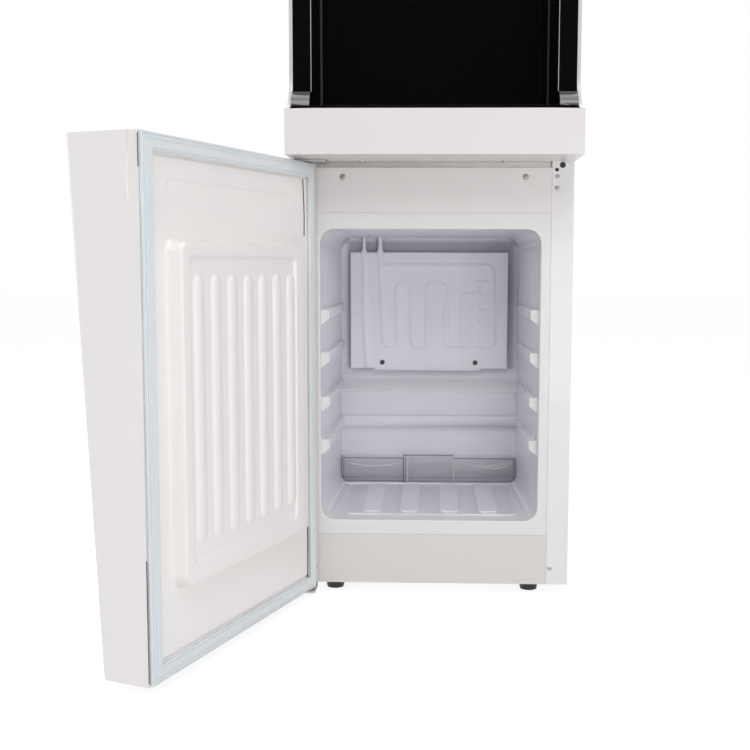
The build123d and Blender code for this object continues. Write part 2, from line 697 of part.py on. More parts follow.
# Seal, held in front of a channel that runs round the inner sheet
seal_width = 15.5
seal_inset = 0.9
seal_foot = 1.3
seal_foot_inset = 2.9
seal_face_gap = 0.3
seal_groove = 1.1
seal_grooves = ((1.2, 2.2), (4.8, 6.2))
channel_gap = 0.3
seal_channel = 4.4
seal_channel_depth = 3.6
seal_outer_x = grown(door_x, -seal_inset)
seal_outer_z = (door_bottom_z + seal_inset, door_top_z - seal_inset)


def seal_ring(y, inset, width, corner, mode=Mode.ADD):
    """Rectangular ring, drawn in from the seal's outline, between depths y."""
    with BuildSketch(Plane.XZ.offset(-y[0])) as ring:
        middle = (sum(seal_outer_z)) / 2
        wide = seal_outer_x[1] - seal_outer_x[0] - 2 * inset
        tall = seal_outer_z[1] - seal_outer_z[0] - 2 * inset
        with Locations((0, middle)):
            RectangleRounded(wide, tall, corner)
            RectangleRounded(wide - 2 * width, tall - 2 * width, corner / 2, mode=Mode.SUBTRACT)
    extrude(ring.sketch, amount=-(y[1] - y[0]), mode=mode)


with BuildPart() as door_liner:
    inset = door_wall + fit_gap
    sheet_z = (door_bottom_z + inset, door_top_z - inset)
    front_slab(grown(door_x, -inset), (sheet_y - door_sheet, sheet_y), sheet_z, 3.0)
    channel_start = seal_width + channel_gap
    channel_y = (sheet_y - seal_channel_depth - door_sheet, sheet_y - door_sheet / 2)
    seal_ring(channel_y, channel_start - door_sheet, seal_channel + 2 * door_sheet, 3.0)
    seal_ring((sheet_y - seal_channel_depth, sheet_y + 1), channel_start, seal_channel, 2.0, Mode.SUBTRACT)
    front_loft((plateau_foot_x, plateau_foot_z, plateau_foot_r, sheet_y),
               (plateau_face_x, plateau_face_z, plateau_face_r, plateau_y))
    hollow_y = plateau_y - field_depth - door_sheet
    front_loft((grown(plateau_foot_x, -3), grown(plateau_foot_z, -3), plateau_foot_r - 2,
                sheet_y - door_sheet),
               (grown(plateau_face_x, -3), grown(plateau_face_z, -3), plateau_face_r - 2, hollow_y),
               Mode.SUBTRACT)
    front_slab(field_x, (plateau_y - field_depth, plateau_y + 1), field_z, field_r, Mode.SUBTRACT)
    flute_r = (flute_width**2 / 4 + field_depth**2) / (2 * field_depth)
    flute_pitch = (field_x[1] - field_x[0] - sum(flute_inset)) / (flute_count - 1)
    flute_y = plateau_y - flute_r
    for i in range(flute_count):
        x = field_x[0] + flute_inset[0] + i * flute_pitch
        with BuildSketch(Plane.XY.offset(flute_z[0])) as flute:
            with Locations((x, flute_y)):
                Circle(flute_r)
            with Locations((x, plateau_y - field_depth - flute_root - flute_r)):
                Rectangle(3 * flute_r, 2 * flute_r, mode=Mode.SUBTRACT)
        extrude(flute.sketch, amount=flute_z[1] - flute_z[0])
    front_slab(top_recess_x, (sheet_y - top_recess_depth, sheet_y + 1), top_recess_z, field_r, Mode.SUBTRACT)
door_pieces["door_liner"] = door_liner

with BuildPart() as door_foam:
    wedge(door_wall + fit_gap, sheet_y - door_sheet - fit_gap)
    front_loft((grown(plateau_foot_x, -4), grown(plateau_foot_z, -4), plateau_foot_r - 3,
                sheet_y - door_sheet - 1),
               (grown(plateau_face_x, -4), grown(plateau_face_z, -4), plateau_face_r - 3, hollow_y - 1))
    seal_ring((channel_y[0] - fit_gap, sheet_y), channel_start - door_sheet - fit_gap,
              seal_channel + 2 * (door_sheet + fit_gap), 3.0, Mode.SUBTRACT)
    for z, way in ((door_top_z, -1), (door_bottom_z, 1)):
        bush_end = (hinge_x, hinge_y, z + way * (bush_depth + 1))
        rod((hinge_x, hinge_y, z), bush_end, bush_r + fit_gap, Mode.SUBTRACT)
door_pieces["door_foam"] = door_foam

with BuildPart() as door_gasket:
    seal_top_y = front - seal_face_gap
    seal_ring((door_rim_y, door_rim_y + seal_foot), seal_foot_inset, seal_width - seal_foot_inset - 1.5, 2.0)
    seal_ring((door_rim_y + seal_foot, seal_top_y), 0, seal_width, 3.0)
    for start, end in seal_grooves:
        seal_ring((seal_top_y - seal_groove, seal_top_y + 1), start, end - start, 2.0, Mode.SUBTRACT)
    with BuildSketch(Plane.XY) as sweep_limit:
        with Locations((hinge_x - 10, hinge_y + 10)):
            Rectangle(20, 20)
        with Locations((hinge_x, hinge_y)):
            Circle(hinge_set_out - hinge_side_gap, mode=Mode.SUBTRACT)
    extrude(sweep_limit.sketch, amount=door_top_z + 5, mode=Mode.SUBTRACT)
door_pieces["door_gasket"] = door_gasket

# Ledge under the niche: a hollow moulding that holds the drip tray
ledge_y = (ledge_front_y, front + niche_depth - 2.0)
ledge_rear_half = half_width - upper_fold_width - 0.5
tray_y = (front - 62.0, front + 58.0)
tray_x = (-tray_half_width, tray_half_width)
rim_height = 3.3
tray_hole_r = 2.5
ledge_outline = [(-half_width, front - 0.3), (-half_width, ledge_front_y + ledge_sweep),
                 (-ledge_crease_x, ledge_front_y), (ledge_crease_x, ledge_front_y),
                 (half_width, ledge_front_y + ledge_sweep), (half_width, front - 0.3),
                 (ledge_rear_half, front - 0.3), (ledge_rear_half, ledge_y[1]),
                 (-ledge_rear_half, ledge_y[1]), (-ledge_rear_half, front - 0.3)]


def ledge_form(inset, z, mode=Mode.ADD):
    """Ledge's plan outline, drawn in by an inset, between the heights z."""
    with BuildSketch(Plane.XY.offset(z[0])) as plan:
        with BuildLine():
            Polyline(ledge_outline, close=True)
        make_face()
        if inset:
            offset(amount=-inset, mode=Mode.REPLACE)
    extrude(plan.sketch, amount=z[1] - z[0], mode=mode)


with BuildPart() as drip_housing:
    ledge_form(0, (ledge_bottom_z, ledge_top_z))
    ledge_form(plastic_wall, (ledge_bottom_z + plastic_wall, ledge_top_z - plastic_wall), Mode.SUBTRACT)
    slab(tray_x, tray_y, (ledge_top_z - 10, ledge_top_z + 1), tray_hole_r, Mode.SUBTRACT)
    for x in ledge_screws:
        screw_end = (x, ledge_screw_y, ledge_bottom_z + plastic_wall + 1)
        rod((x, ledge_screw_y, ledge_bottom_z - 1), screw_end, screw_hole_r, Mode.SUBTRACT)
pieces["drip_housing"] = drip_housing

drip_tray_depth = 34.0
tray_clear = 1.0
tray_floor_z = ledge_top_z - drip_tray_depth
tray_lip_z = ledge_top_z + rim_height + 1.4
with BuildPart() as drip_tray:
    slab(grown(tray_x, -tray_clear), grown(tray_y, -tray_clear), (tray_floor_z, tray_lip_z), 5.0)
    slab(grown(tray_x, 2.0), grown(tray_y, 2.0), (ledge_top_z + rim_height + fit_gap, tray_lip_z), 7.0)
    slab(grown(tray_x, -tray_clear - 2), grown(tray_y, -tray_clear - 2), (tray_floor_z + 2, tray_lip_z + 1),
         4.0, Mode.SUBTRACT)
    for x in (-1, 1):
        for y in (-1, 1):
            foot = ((x * (tray_half_width - 12)), (tray_y[0] + tray_y[1]) / 2 + y * 48)
            rod((*foot, tray_floor_z), (*foot, tray_lip_z - 5), 3.0)
pieces["drip_tray"] = drip_tray

grille_clear = 3.4
grille_thick = 3.0
grille_slots = 22
grille_z = tray_lip_z - 5 + fit_gap
with BuildPart() as drip_grille:
    grille_x = grown(tray_x, -grille_clear)
    grille_y = grown(tray_y, -grille_clear)
    slab(grille_x, grille_y, (grille_z, grille_z + grille_thick), 3.0)
    slot_pitch = (grille_x[1] - grille_x[0] - 16) / grille_slots
    with BuildSketch(Plane.XY.offset(grille_z - 1)) as slots:
        for row in (-1, 1):
            with Locations((0, (grille_y[0] + grille_y[1]) / 2 + row * 27.5)):
                with GridLocations(slot_pitch, 1, grille_slots, 1):
                    SlotOverall(44, slot_pitch * 0.55, rotation=90)
    extrude(slots.sketch, amount=grille_thick + 2, mode=Mode.SUBTRACT)
pieces["drip_grille"] = drip_grille

# Black niche moulding: back, side walls, pillars and the deck around the drip tray
niche_z = (ledge_top_z, fascia_bottom_z - fit_gap)
pillar_half = half_width - frame_thick - fit_gap
niche_back_y = front + niche_depth
pillar_y = front - pillar_set_out
niche_wall = 2.0
niche_outer_half = niche_half_width + niche_wall
deck_front_y = ledge_front_y + ledge_sweep + 1.2
scoop_r = 20.0
with BuildPart() as niche_panel:
    lip_half = pillar_half - 4.5
    with BuildSketch(Plane.XY.offset(niche_z[0])) as deck_plan:
        with BuildLine():
            Polyline((-lip_half, deck_front_y), (lip_half, deck_front_y), (lip_half, front - 0.4),
                     (niche_outer_half, front - 0.4), (niche_outer_half, niche_back_y),
                     (-niche_outer_half, niche_back_y), (-niche_outer_half, front - 0.4),
                     (-lip_half, front - 0.4), close=True)
        make_face()
    extrude(deck_plan.sketch, amount=rim_height)
    slab(tray_x, tray_y, (niche_z[0] - 1, niche_z[0] + rim_height + 1), tray_hole_r, Mode.SUBTRACT)
    block((-niche_outer_half, niche_outer_half), (niche_back_y, niche_back_y + niche_wall), niche_z)
    for side in (-1, 1):
        wall = sorted((side * niche_half_width, side * (niche_half_width + niche_wall)))
        block(wall, (pillar_y, niche_back_y), niche_z)
        pillar = sorted((side * niche_half_width, side * pillar_half))
        top = niche_z[0] + rim_height + scoop_r
        with BuildSketch(Plane.YZ.offset(pillar[0])) as scoop:
            with BuildLine():
                Line((pillar_y + niche_wall, niche_z[1]), (pillar_y, niche_z[1]))
                Line((pillar_y, niche_z[1]), (pillar_y, top))
                RadiusArc((pillar_y, top), (pillar_y - scoop_r, top - scoop_r), -scoop_r)
                Line((pillar_y - scoop_r, top - scoop_r), (pillar_y - scoop_r, niche_z[0]))
                Line((pillar_y - scoop_r, niche_z[0]), (pillar_y + niche_wall, niche_z[0]))
                Line((pillar_y + niche_wall, niche_z[0]), (pillar_y + niche_wall, niche_z[1]))
            make_face()
        extrude(scoop.sketch, amount=pillar[1] - pillar[0])
pieces["niche_panel"] = niche_panel

# White side frames that flare out to the ledge below and to the head above
with BuildPart() as side_frames:
    for side in (-1, 1):
        limits = sorted((side * (half_width - frame_thick), side * half_width))
        far_y = ledge_front_y + ledge_sweep + 0.4
        flare = pillar_y - far_y
        bottom = niche_z[0] + fit_gap
        top = niche_z[1] - fit_gap
        with BuildSketch(Plane.YZ.offset(limits[0])) as frame_side:
            with BuildLine():
                Line((front - fit_gap, bottom), (front - fit_gap, top))
                Line((front - fit_gap, top), (far_y, top))
                RadiusArc((far_y, top), (pillar_y, top - flare), flare)
                Line((pillar_y, top - flare), (pillar_y, bottom + flare))
                RadiusArc((pillar_y, bottom + flare), (far_y, bottom), flare)
                Line((far_y, bottom), (front - fit_gap, bottom))
            make_face()
        extrude(frame_side.sketch, amount=frame_thick)
pieces["side_frames"] = side_frames

# Head: white shell over the niche, with openings for the taps and the control panel
fascia_z = (fascia_bottom_z, head_top_z - fit_gap)
fascia_floor_z = fascia_bottom_z + plastic_wall
tap_x = (-tap_pitch, 0.0, tap_pitch)
tap_y = front - 40.0
nozzle_r = 8.0
panel_half = half_width - 37.0
panel_z = (fascia_bottom_z + 24.0, head_top_z - 22.0)
panel_corner_r = 9.0
panel_gap = 0.3
with BuildPart() as fascia:
    ledge_form(0, fascia_z)
    ledge_form(plastic_wall, (fascia_floor_z, fascia_z[1] + 1), Mode.SUBTRACT)
    block(grown((-half_width, half_width), 1), (front - plastic_wall - 1, back),
          (fascia_floor_z, fascia_z[1] + 1), Mode.SUBTRACT)
    block((-ledge_rear_half, ledge_rear_half), (ledge_y[1] - 1, niche_back_y + niche_wall),
          (fascia_bottom_z, fascia_floor_z))
    wall_y = (ledge_front_y - 1, ledge_front_y + plastic_wall + 1)
    front_slab(grown((-panel_half, panel_half), panel_gap), wall_y, grown(panel_z, panel_gap),
               panel_corner_r + panel_gap, Mode.SUBTRACT)
    for x in tap_x:
        tap_top = (x, tap_y, fascia_floor_z + 1)
        rod((x, tap_y, fascia_bottom_z - 1), tap_top, nozzle_r + panel_gap, Mode.SUBTRACT)
pieces["fascia"] = fascia

# Glossy control panel with three button openings, three light openings and a slot for the hot lock
button_size = (34.0, 22.0)
button_z = fascia_bottom_z + 48.0
button_corner_r = 4.0
light_z = button_z + 36.0
light_r = 3.0
lock_z = button_z + 20.5
lock_knob = (10.0, 6.0)
lock_travel = 6.0
button_clear = 0.15
panel_flange = 3.0
flange_thick = 1.6
panel_back_y = ledge_front_y + plastic_wall + flange_thick
lock_slot_x = (tap_x[0] - lock_knob[0] / 2, tap_x[0] + lock_knob[0] / 2 + lock_travel)
with BuildPart() as control_panel:
    front_slab((-panel_half, panel_half), (ledge_front_y, ledge_front_y + plastic_wall + fit_gap), panel_z,
               panel_corner_r)
    front_slab(grown((-panel_half, panel_half), panel_flange), (ledge_front_y + plastic_wall, panel_back_y),
               grown(panel_z, panel_flange), panel_corner_r + panel_flange)
    panel_y = (ledge_front_y - 1, panel_back_y + 1)
    for x in tap_x:
        opening = (grown((x - button_size[0] / 2, x + button_size[0] / 2), button_clear),
                   grown((button_z - button_size[1] / 2, button_z + button_size[1] / 2), button_clear))
        front_slab(opening[0], panel_y, opening[1], button_corner_r, Mode.SUBTRACT)
        rod((x, panel_y[0], light_z), (x, panel_y[1], light_z), light_r + button_clear, Mode.SUBTRACT)
    lock_slot_z = (lock_z - lock_knob[1] / 2, lock_z + lock_knob[1] / 2)
    front_slab(grown(lock_slot_x, button_clear), panel_y, grown(lock_slot_z, button_clear), 1.5,
               Mode.SUBTRACT)
pieces["control_panel"] = control_panel

with BuildPart() as indicator_lenses:
    for x in tap_x:
        rod((x, ledge_front_y - 0.6, light_z), (x, panel_back_y, light_z), light_r)
        rod((x, panel_back_y, light_z), (x, panel_back_y + 1.2, light_z), light_r + 1.2)
pieces["indicator_lenses"] = indicator_lenses

# Push buttons, each held by a flange behind the panel
button_proud = 2.4
button_flange = 1.4
button_stop = 0.05
button_stem_r = 4.0


def push_button(x):
    """Rectangular key with a dished face, a retaining flange and a stem."""
    x_limits = (x - button_size[0] / 2, x + button_size[0] / 2)
    z_limits = (button_z - button_size[1] / 2, button_z + button_size[1] / 2)
    flange_y = panel_back_y + button_stop
    front_slab(x_limits, (ledge_front_y - button_proud, flange_y + 1), z_limits, button_corner_r)
    front_edges = edges().group_by(Axis.Y)[0]
    fillet(front_edges, 1.0)
    front_slab(grown(x_limits, button_flange), (flange_y, flange_y + 1.2), grown(z_limits, button_flange),
               button_corner_r + 1)
    rod((x, flange_y + 1, button_z), (x, flange_y + 5, button_z), button_stem_r)
    dish_r = 60.0
    rod((x, ledge_front_y - button_proud - dish_r + 0.9, z_limits[0] + 2),
        (x, ledge_front_y - button_proud - dish_r + 0.9, z_limits[1] - 2), dish_r, Mode.SUBTRACT)


with BuildPart() as hot_button:
    push_button(tap_x[0])
pieces["hot_button"] = hot_button
with BuildPart() as ambient_button:
    push_button(tap_x[1])
pieces["ambient_button"] = ambient_button
with BuildPart() as cold_button:
    push_button(tap_x[2])
pieces["cold_button"] = cold_button

with BuildPart() as hot_lock:
    knob_x = (tap_x[0] - lock_knob[0] / 2, tap_x[0] + lock_knob[0] / 2)
    knob_z = (lock_z - lock_knob[1] / 2, lock_z + lock_knob[1] / 2)
    front_slab(knob_x, (ledge_front_y - 1.6, panel_back_y + 1), knob_z, 1.2)
    front_slab(grown(knob_x, 1.5), (panel_back_y + button_stop, panel_back_y + 1.4), grown(knob_z, 1.2), 1.5)
    for i in (-1, 0, 1):
        ridge = tap_x[0] + i * 2.6
        block((ridge - 0.5, ridge + 0.5), (ledge_front_y - 2.1, ledge_front_y - 1.2), grown(knob_z, -1))
pieces["hot_lock"] = hot_lock

# Taps under the head, each fed by a solenoid valve standing on the head's floor
valve_half = 12.0
valve_z = (fascia_floor_z + 4.0, fascia_floor_z + 34.0)
port_z = fascia_floor_z + 27.0
port_r = 3.2
valve_back_y = tap_y + valve_half
hose_r = 4.0
with BuildPart() as taps:
    for x in tap_x:
        rod((x, tap_y, fascia_bottom_z - 24), (x, tap_y, fascia_floor_z + 4), nozzle_r)
        cone((x, tap_y, fascia_bottom_z - 6), (x, tap_y, fascia_bottom_z), nozzle_r + 2, nozzle_r + 5)
        rod((x, tap_y, fascia_floor_z), (x, tap_y, fascia_floor_z + 4), nozzle_r + 4)
    for x in tap_x:
        rod((x, tap_y, fascia_bottom_z - 25), (x, tap_y, fascia_floor_z + 5), port_r, Mode.SUBTRACT)
pieces["taps"] = taps

with BuildPart() as tap_valves:
    for x in tap_x:
        block((x - valve_half, x + valve_half), (tap_y - valve_half, tap_y + valve_half), valve_z)
        rod((x, tap_y, valve_z[1]), (x, tap_y, valve_z[1] + 14), 9.0)
        rod((x, valve_back_y - 1, port_z), (x, valve_back_y + 8, port_z), port_r + 1.4)
    for x in tap_x:
        rod((x, tap_y, valve_z[0] - 1), (x, tap_y, port_z), port_r, Mode.SUBTRACT)
        rod((x, tap_y, port_z), (x, valve_back_y + 9, port_z), port_r, Mode.SUBTRACT)
pieces["tap_valves"] = tap_valves

# Top cover, a rounded cap with a locating lip inside each side
cover_z = (head_top_z, head_top_z + cover_height)
cover_outline = [(-half_width, back), (-half_width, ledge_front_y + ledge_sweep),
                 (-ledge_crease_x, ledge_front_y), (ledge_crease_x, ledge_front_y),
                 (half_width, ledge_front_y + ledge_sweep), (half_width, back)]
cover_edge_r = 12.0
cover_lip = 6.0


def cover_form(inset, z):
    """Cap outline in plan, drawn in by an inset, between the heights z."""
    with BuildSketch(Plane.XY.offset(z[0])) as plan:
        with BuildLine():
            Polyline(cover_outline, close=True)
        make_face()
        if inset:
            offset(amount=-inset, mode=Mode.REPLACE)
    return plan.sketch


with BuildPart() as top_cover:
    extrude(cover_form(0, cover_z), amount=cover_height)
    fillet(faces().sort_by(Axis.Z)[-1].edges(), cover_edge_r)
    extrude(cover_form(plastic_wall, cover_z), amount=cover_height - cover_edge_r, mode=Mode.SUBTRACT)
    hollow = cover_edge_r - plastic_wall
    extrude(cover_form(cover_edge_r, (cover_z[1] - cover_edge_r, 0)), amount=hollow, mode=Mode.SUBTRACT)
    for side in (-1, 1):
        lip_x = sorted((side * (inner_half - 0.3), side * (inner_half - 0.3 - plastic_wall)))
        block(lip_x, (front + 8, back - 12), (head_top_z - cover_lip, head_top_z + 3))
pieces["top_cover"] = top_cover

# Shelf across the body that carries both water tanks
tank_wall = 1.2
cold_jacket = 13.0
cold_height = 150.0
hot_height = 130.0
hot_jacket = 8.0
tank_front_gap = 5.0
tank_rear_gap = 35.0
tank_room = (niche_back_y + niche_wall + tank_front_gap, back - tank_rear_gap)
cold_r = (tank_room[1] - tank_room[0]) / 2 - cold_jacket
hot_r = cold_r - 12.0
tank_y = (tank_room[0] + tank_room[1]) / 2
spare_width = 2 * (inner_half - cold_r - cold_jacket - hot_r - hot_jacket)
cold_x = inner_half - cold_r - cold_jacket - 0.26 * spare_width
hot_x = -inner_half + hot_r + hot_jacket + 0.5 * spare_width
tank_shelf_y = (niche_back_y + 7.0, back - 32.0)
stub_r = 5.0
shelf_flange = 16.0
coil_tube_r = 2.5
coil_r = cold_r + coil_tube_r
coil_tail_y = tank_y + coil_r
with BuildPart() as tank_shelf:
    shelf_half = inner_half - fit_gap
    block((-shelf_half, shelf_half), tank_shelf_y, (tank_shelf_z, tank_shelf_z + sheet))
    for side in (-1, 1):
        wall = sorted((side * shelf_half, side * (shelf_half - sheet)))
        block(wall, tank_shelf_y, (tank_shelf_z - shelf_flange, tank_shelf_z + sheet))
    for limit in (tank_shelf_y[0], tank_shelf_y[1] - sheet):
        block((-shelf_half, shelf_half), (limit, limit + sheet), (tank_shelf_z - 6, tank_shelf_z + sheet))
    for x in (cold_x, hot_x):
        rod((x, tank_y, tank_shelf_z - 1), (x, tank_y, tank_shelf_z + 2), stub_r + 1, Mode.SUBTRACT)
    rod((cold_x, coil_tail_y, tank_shelf_z - 1), (cold_x, coil_tail_y, tank_shelf_z + 2), 3.5, Mode.SUBTRACT)
pieces["tank_shelf"] = tank_shelf

# Tanks: hollow steel vessels with a stub below, a stub above and a feed stub towards the back
feed_z = tank_shelf_z + 30.0
feed_y = back - 24.0
cold_feed_x = cold_x - 28.0
stub_up = 22.0
shelf_top_z = tank_shelf_z + sheet
cold_z = (shelf_top_z + cold_jacket, shelf_top_z + cold_jacket + cold_height)
hot_z = (shelf_top_z + hot_jacket, shelf_top_z + hot_jacket + hot_height)
drain_z = tank_shelf_z - 14.0


def tank(x, z, radius, feed_x):
    """Round vessel with a wall, rounded rims and three open stubs."""
    rod((x, tank_y, z[0]), (x, tank_y, z[1]), radius)
    fillet(edges().filter_by(GeomType.CIRCLE), 8.0)
    rod((x, tank_y, drain_z), (x, tank_y, z[1] + stub_up), stub_r)
    rod((feed_x, tank_y, feed_z), (feed_x, feed_y - hose_r, feed_z), stub_r)
    rod((x, tank_y, z[0] + tank_wall), (x, tank_y, z[1] - tank_wall), radius - tank_wall, Mode.SUBTRACT)
    rod((x, tank_y, drain_z - 1), (x, tank_y, z[1] + stub_up + 1), port_r, Mode.SUBTRACT)
    rod((feed_x, tank_y, feed_z), (feed_x, feed_y, feed_z), port_r, Mode.SUBTRACT)


with BuildPart() as cold_tank:
    tank(cold_x, cold_z, cold_r, cold_feed_x)
pieces["cold_tank"] = cold_tank

with BuildPart() as hot_tank:
    tank(hot_x, hot_z, hot_r, hot_x)
pieces["hot_tank"] = hot_tank

coil_turns = 7
coil_pitch = 10.0
coil_z = (cold_z[0] + 46.0, cold_z[0] + 46.0 + coil_turns * coil_pitch)
coil_top_z = cold_z[1] + cold_jacket + 6.0


def jacket(x, z, inner_r, outer_r, thick, feed_x):
    """Insulating sleeve with ends round a tank, open where stubs pass."""
    rod((x, tank_y, z[0] - thick), (x, tank_y, z[1] + thick), outer_r)
    rod((x, tank_y, z[0]), (x, tank_y, z[1]), inner_r, Mode.SUBTRACT)
    rod((x, tank_y, z[0] - thick - 1), (x, tank_y, z[1] + thick + 1), stub_r + fit_gap, Mode.SUBTRACT)
    rod((feed_x, tank_y, feed_z), (feed_x, tank_y + outer_r + 5, feed_z), stub_r + fit_gap, Mode.SUBTRACT)


with BuildPart() as cold_tank_insulation:
    jacket(cold_x, cold_z, coil_r + coil_tube_r + 0.8, cold_r + cold_jacket, cold_jacket, cold_feed_x)
    tail_start = (cold_x, coil_tail_y, cold_z[0] - cold_jacket - 1)
    rod(tail_start, (cold_x, coil_tail_y, coil_top_z), coil_tube_r + fit_gap, Mode.SUBTRACT)
pieces["cold_tank_insulation"] = cold_tank_insulation

heater_r = hot_r + 2.4
heater_z = (hot_z[0] + 34.0, hot_z[0] + 78.0)
with BuildPart() as hot_tank_insulation:
    jacket(hot_x, hot_z, hot_r + 5.0, hot_r + hot_jacket, hot_jacket, hot_x)
pieces["hot_tank_insulation"] = hot_tank_insulation

with BuildPart() as hot_tank_heater:
    rod((hot_x, tank_y, heater_z[0]), (hot_x, tank_y, heater_z[1]), heater_r)
    rod((hot_x, tank_y, heater_z[0] - 1), (hot_x, tank_y, heater_z[1] + 1), hot_r + fit_gap / 2,
        Mode.SUBTRACT)
    block((hot_x - 4, hot_x + 4), (tank_y - hot_r - 4.2, tank_y - hot_r - 1.6), heater_z)
    for z in (hot_z[0] + 94.0, hot_z[0] + 112.0):
        rod((hot_x, tank_y - hot_r - 4.0, z), (hot_x, tank_y - hot_r - fit_gap, z), 6.5)
pieces["hot_tank_heater"] = hot_tank_heater

with BuildPart() as cooling_coil:
    with BuildLine(Plane(origin=(cold_x, tank_y, coil_z[0]), x_dir=(0, 1, 0), z_dir=(0, 0, 1))) as winding:
        Helix(pitch=coil_pitch, height=coil_z[1] - coil_z[0], radius=coil_r + fit_gap / 2)
    with BuildSketch(Plane(origin=winding.line @ 0, z_dir=winding.line % 0)) as coil_section:
        Circle(coil_tube_r - fit_gap / 4)
    sweep(coil_section.sketch, path=winding.line)
    tail_y = coil_tail_y + fit_gap / 2
    rod((cold_x, tail_y, tank_shelf_z - 10), (cold_x, tail_y, coil_z[0]), coil_tube_r - 0.3)
    rod((cold_x, tail_y, coil_z[1]), (cold_x, tail_y, coil_top_z), coil_tube_r - 0.3)
pieces["cooling_coil"] = cooling_coil

# Water inlet at the back, its valve, and hoses to the tanks and taps
fitting_z = tank_shelf_z - 32.0
inlet_x = -half_width + 55.0
inlet_y = (back - 16.0, back + 14.0)
inlet_bore_r = 3.25
inlet_bore_depth = 15.0
valve_y = (back - 34.0, back - 16.0)
with BuildPart() as inlet_fitting:
    rod((inlet_x, inlet_y[0], fitting_z), (inlet_x, inlet_y[1], fitting_z), 7.0)
    rod((inlet_x, back, fitting_z), (inlet_x, back + 5, fitting_z), 10.0)
    rod((inlet_x, back + 10, fitting_z), (inlet_x, inlet_y[1], fitting_z), 8.2)
    bore_start = (inlet_x, inlet_y[1] - inlet_bore_depth, fitting_z)
    rod(bore_start, (inlet_x, inlet_y[1] + 1, fitting_z), inlet_bore_r, Mode.SUBTRACT)
    rod((inlet_x, inlet_y[0] - 1, fitting_z), (inlet_x, inlet_y[1], fitting_z), 2.0, Mode.SUBTRACT)
pieces["inlet_fitting"] = inlet_fitting

hose_x = (cold_x - cold_r - cold_jacket + hot_x + hot_r + hot_jacket) / 2
drain_x = (-40.0, 10.0)
hose_top_z = port_z
hose_start_z = fitting_z + 12.0
with BuildPart() as inlet_valve:
    block((inlet_x - 15, inlet_x + 15), valve_y, (fitting_z - 14, fitting_z + 12))
    rod((inlet_x, valve_y[0] - 18, fitting_z), (inlet_x, valve_y[0], fitting_z), 11.0)
    rod((inlet_x, feed_y, fitting_z), (inlet_x, feed_y, hose_start_z + 1), port_r, Mode.SUBTRACT)
    rod((inlet_x, feed_y, fitting_z), (inlet_x, valve_y[1] + 1, fitting_z), 2.0, Mode.SUBTRACT)
pieces["inlet_valve"] = inlet_valve

hose_end_y = valve_back_y + 8.0 + fit_gap
with BuildPart() as water_hoses:
    tube([(inlet_x, feed_y, hose_start_z), (inlet_x, feed_y, feed_z), (cold_feed_x + stub_r, feed_y, feed_z)],
         12.0, hose_r)
    tube([(hose_x, feed_y, feed_z), (hose_x, feed_y, hose_top_z), (hose_x, front + 40, hose_top_z),
          (tap_x[1], front + 10, hose_top_z), (tap_x[1], hose_end_y, hose_top_z)], 10.0, hose_r)
    for x, top, end_x in ((hot_x, hot_z[1], tap_x[0]), (cold_x, cold_z[1], tap_x[2])):
        tube([(x, tank_y, top + stub_up + fit_gap), (x, tank_y, hose_top_z), (x, front + 40, hose_top_z),
              (end_x, front + 10, hose_top_z), (end_x, hose_end_y, hose_top_z)], 10.0, hose_r)
    for x, end_x in ((hot_x, drain_x[0]), (cold_x, drain_x[1])):
        tube([(x, tank_y, drain_z - fit_gap), (x, tank_y, drain_z - 10), (end_x, back - 50, drain_z - 10),
              (end_x, back - 34, fitting_z), (end_x, back - 16 - fit_gap, fitting_z)], 7.0, hose_r)
pieces["water_hoses"] = water_hoses

with BuildPart() as drain_outlets:
    for x in drain_x:
        rod((x, back - 16, fitting_z), (x, back + 12, fitting_z), 6.0)
        rod((x, back, fitting_z), (x, back + 3, fitting_z), 9.0)
        rod((x, back + 5, fitting_z), (x, back + 16, fitting_z), 8.5)
pieces["drain_outlets"] = drain_outlets

# Compressor on its rubber feet
compressor_r = 58.0
compressor_z = (deck_z + 16.0, deck_z + 126.0)
foot_plate_z = (deck_z + sheet + 12.0, deck_z + sheet + 14.0)
with BuildPart() as compressor:
    rod((compressor_x, compressor_y, compressor_z[0] - 4), (compressor_x, compressor_y, compressor_z[1]),
        compressor_r)
    fillet(edges().filter_by(GeomType.CIRCLE).sort_by(Axis.Z)[-1], 26.0)
    slab(grown((compressor_x - grommet_x, compressor_x + grommet_x), 10.0),
         grown((compressor_y - grommet_y, compressor_y + grommet_y), 10.0), foot_plate_z, 8.0)
    terminal_y = (compressor_y - compressor_r - 12, compressor_y - compressor_r + 6)
    block((compressor_x - 16, compressor_x + 16), terminal_y, (compressor_z[0] + 40, compressor_z[0] + 76))
    for x, y in grommet_places:
        rod((x, y, foot_plate_z[0] - 1), (x, y, foot_plate_z[1] + 1), 5.2, Mode.SUBTRACT)
pieces["compressor"] = compressor

with BuildPart() as compressor_grommets:
    for x, y in grommet_places:
        rod((x, y, deck_z + sheet), (x, y, foot_plate_z[0]), 8.5)
        rod((x, y, foot_plate_z[0]), (x, y, foot_plate_z[1]), 5.0)
        rod((x, y, foot_plate_z[1]), (x, y, foot_plate_z[1] + 3), 7.0)
    for x, y in grommet_places:
        rod((x, y, deck_z), (x, y, foot_plate_z[1] + 5), grommet_stud_r + 0.15, Mode.SUBTRACT)
pieces["compressor_grommets"] = compressor_grommets

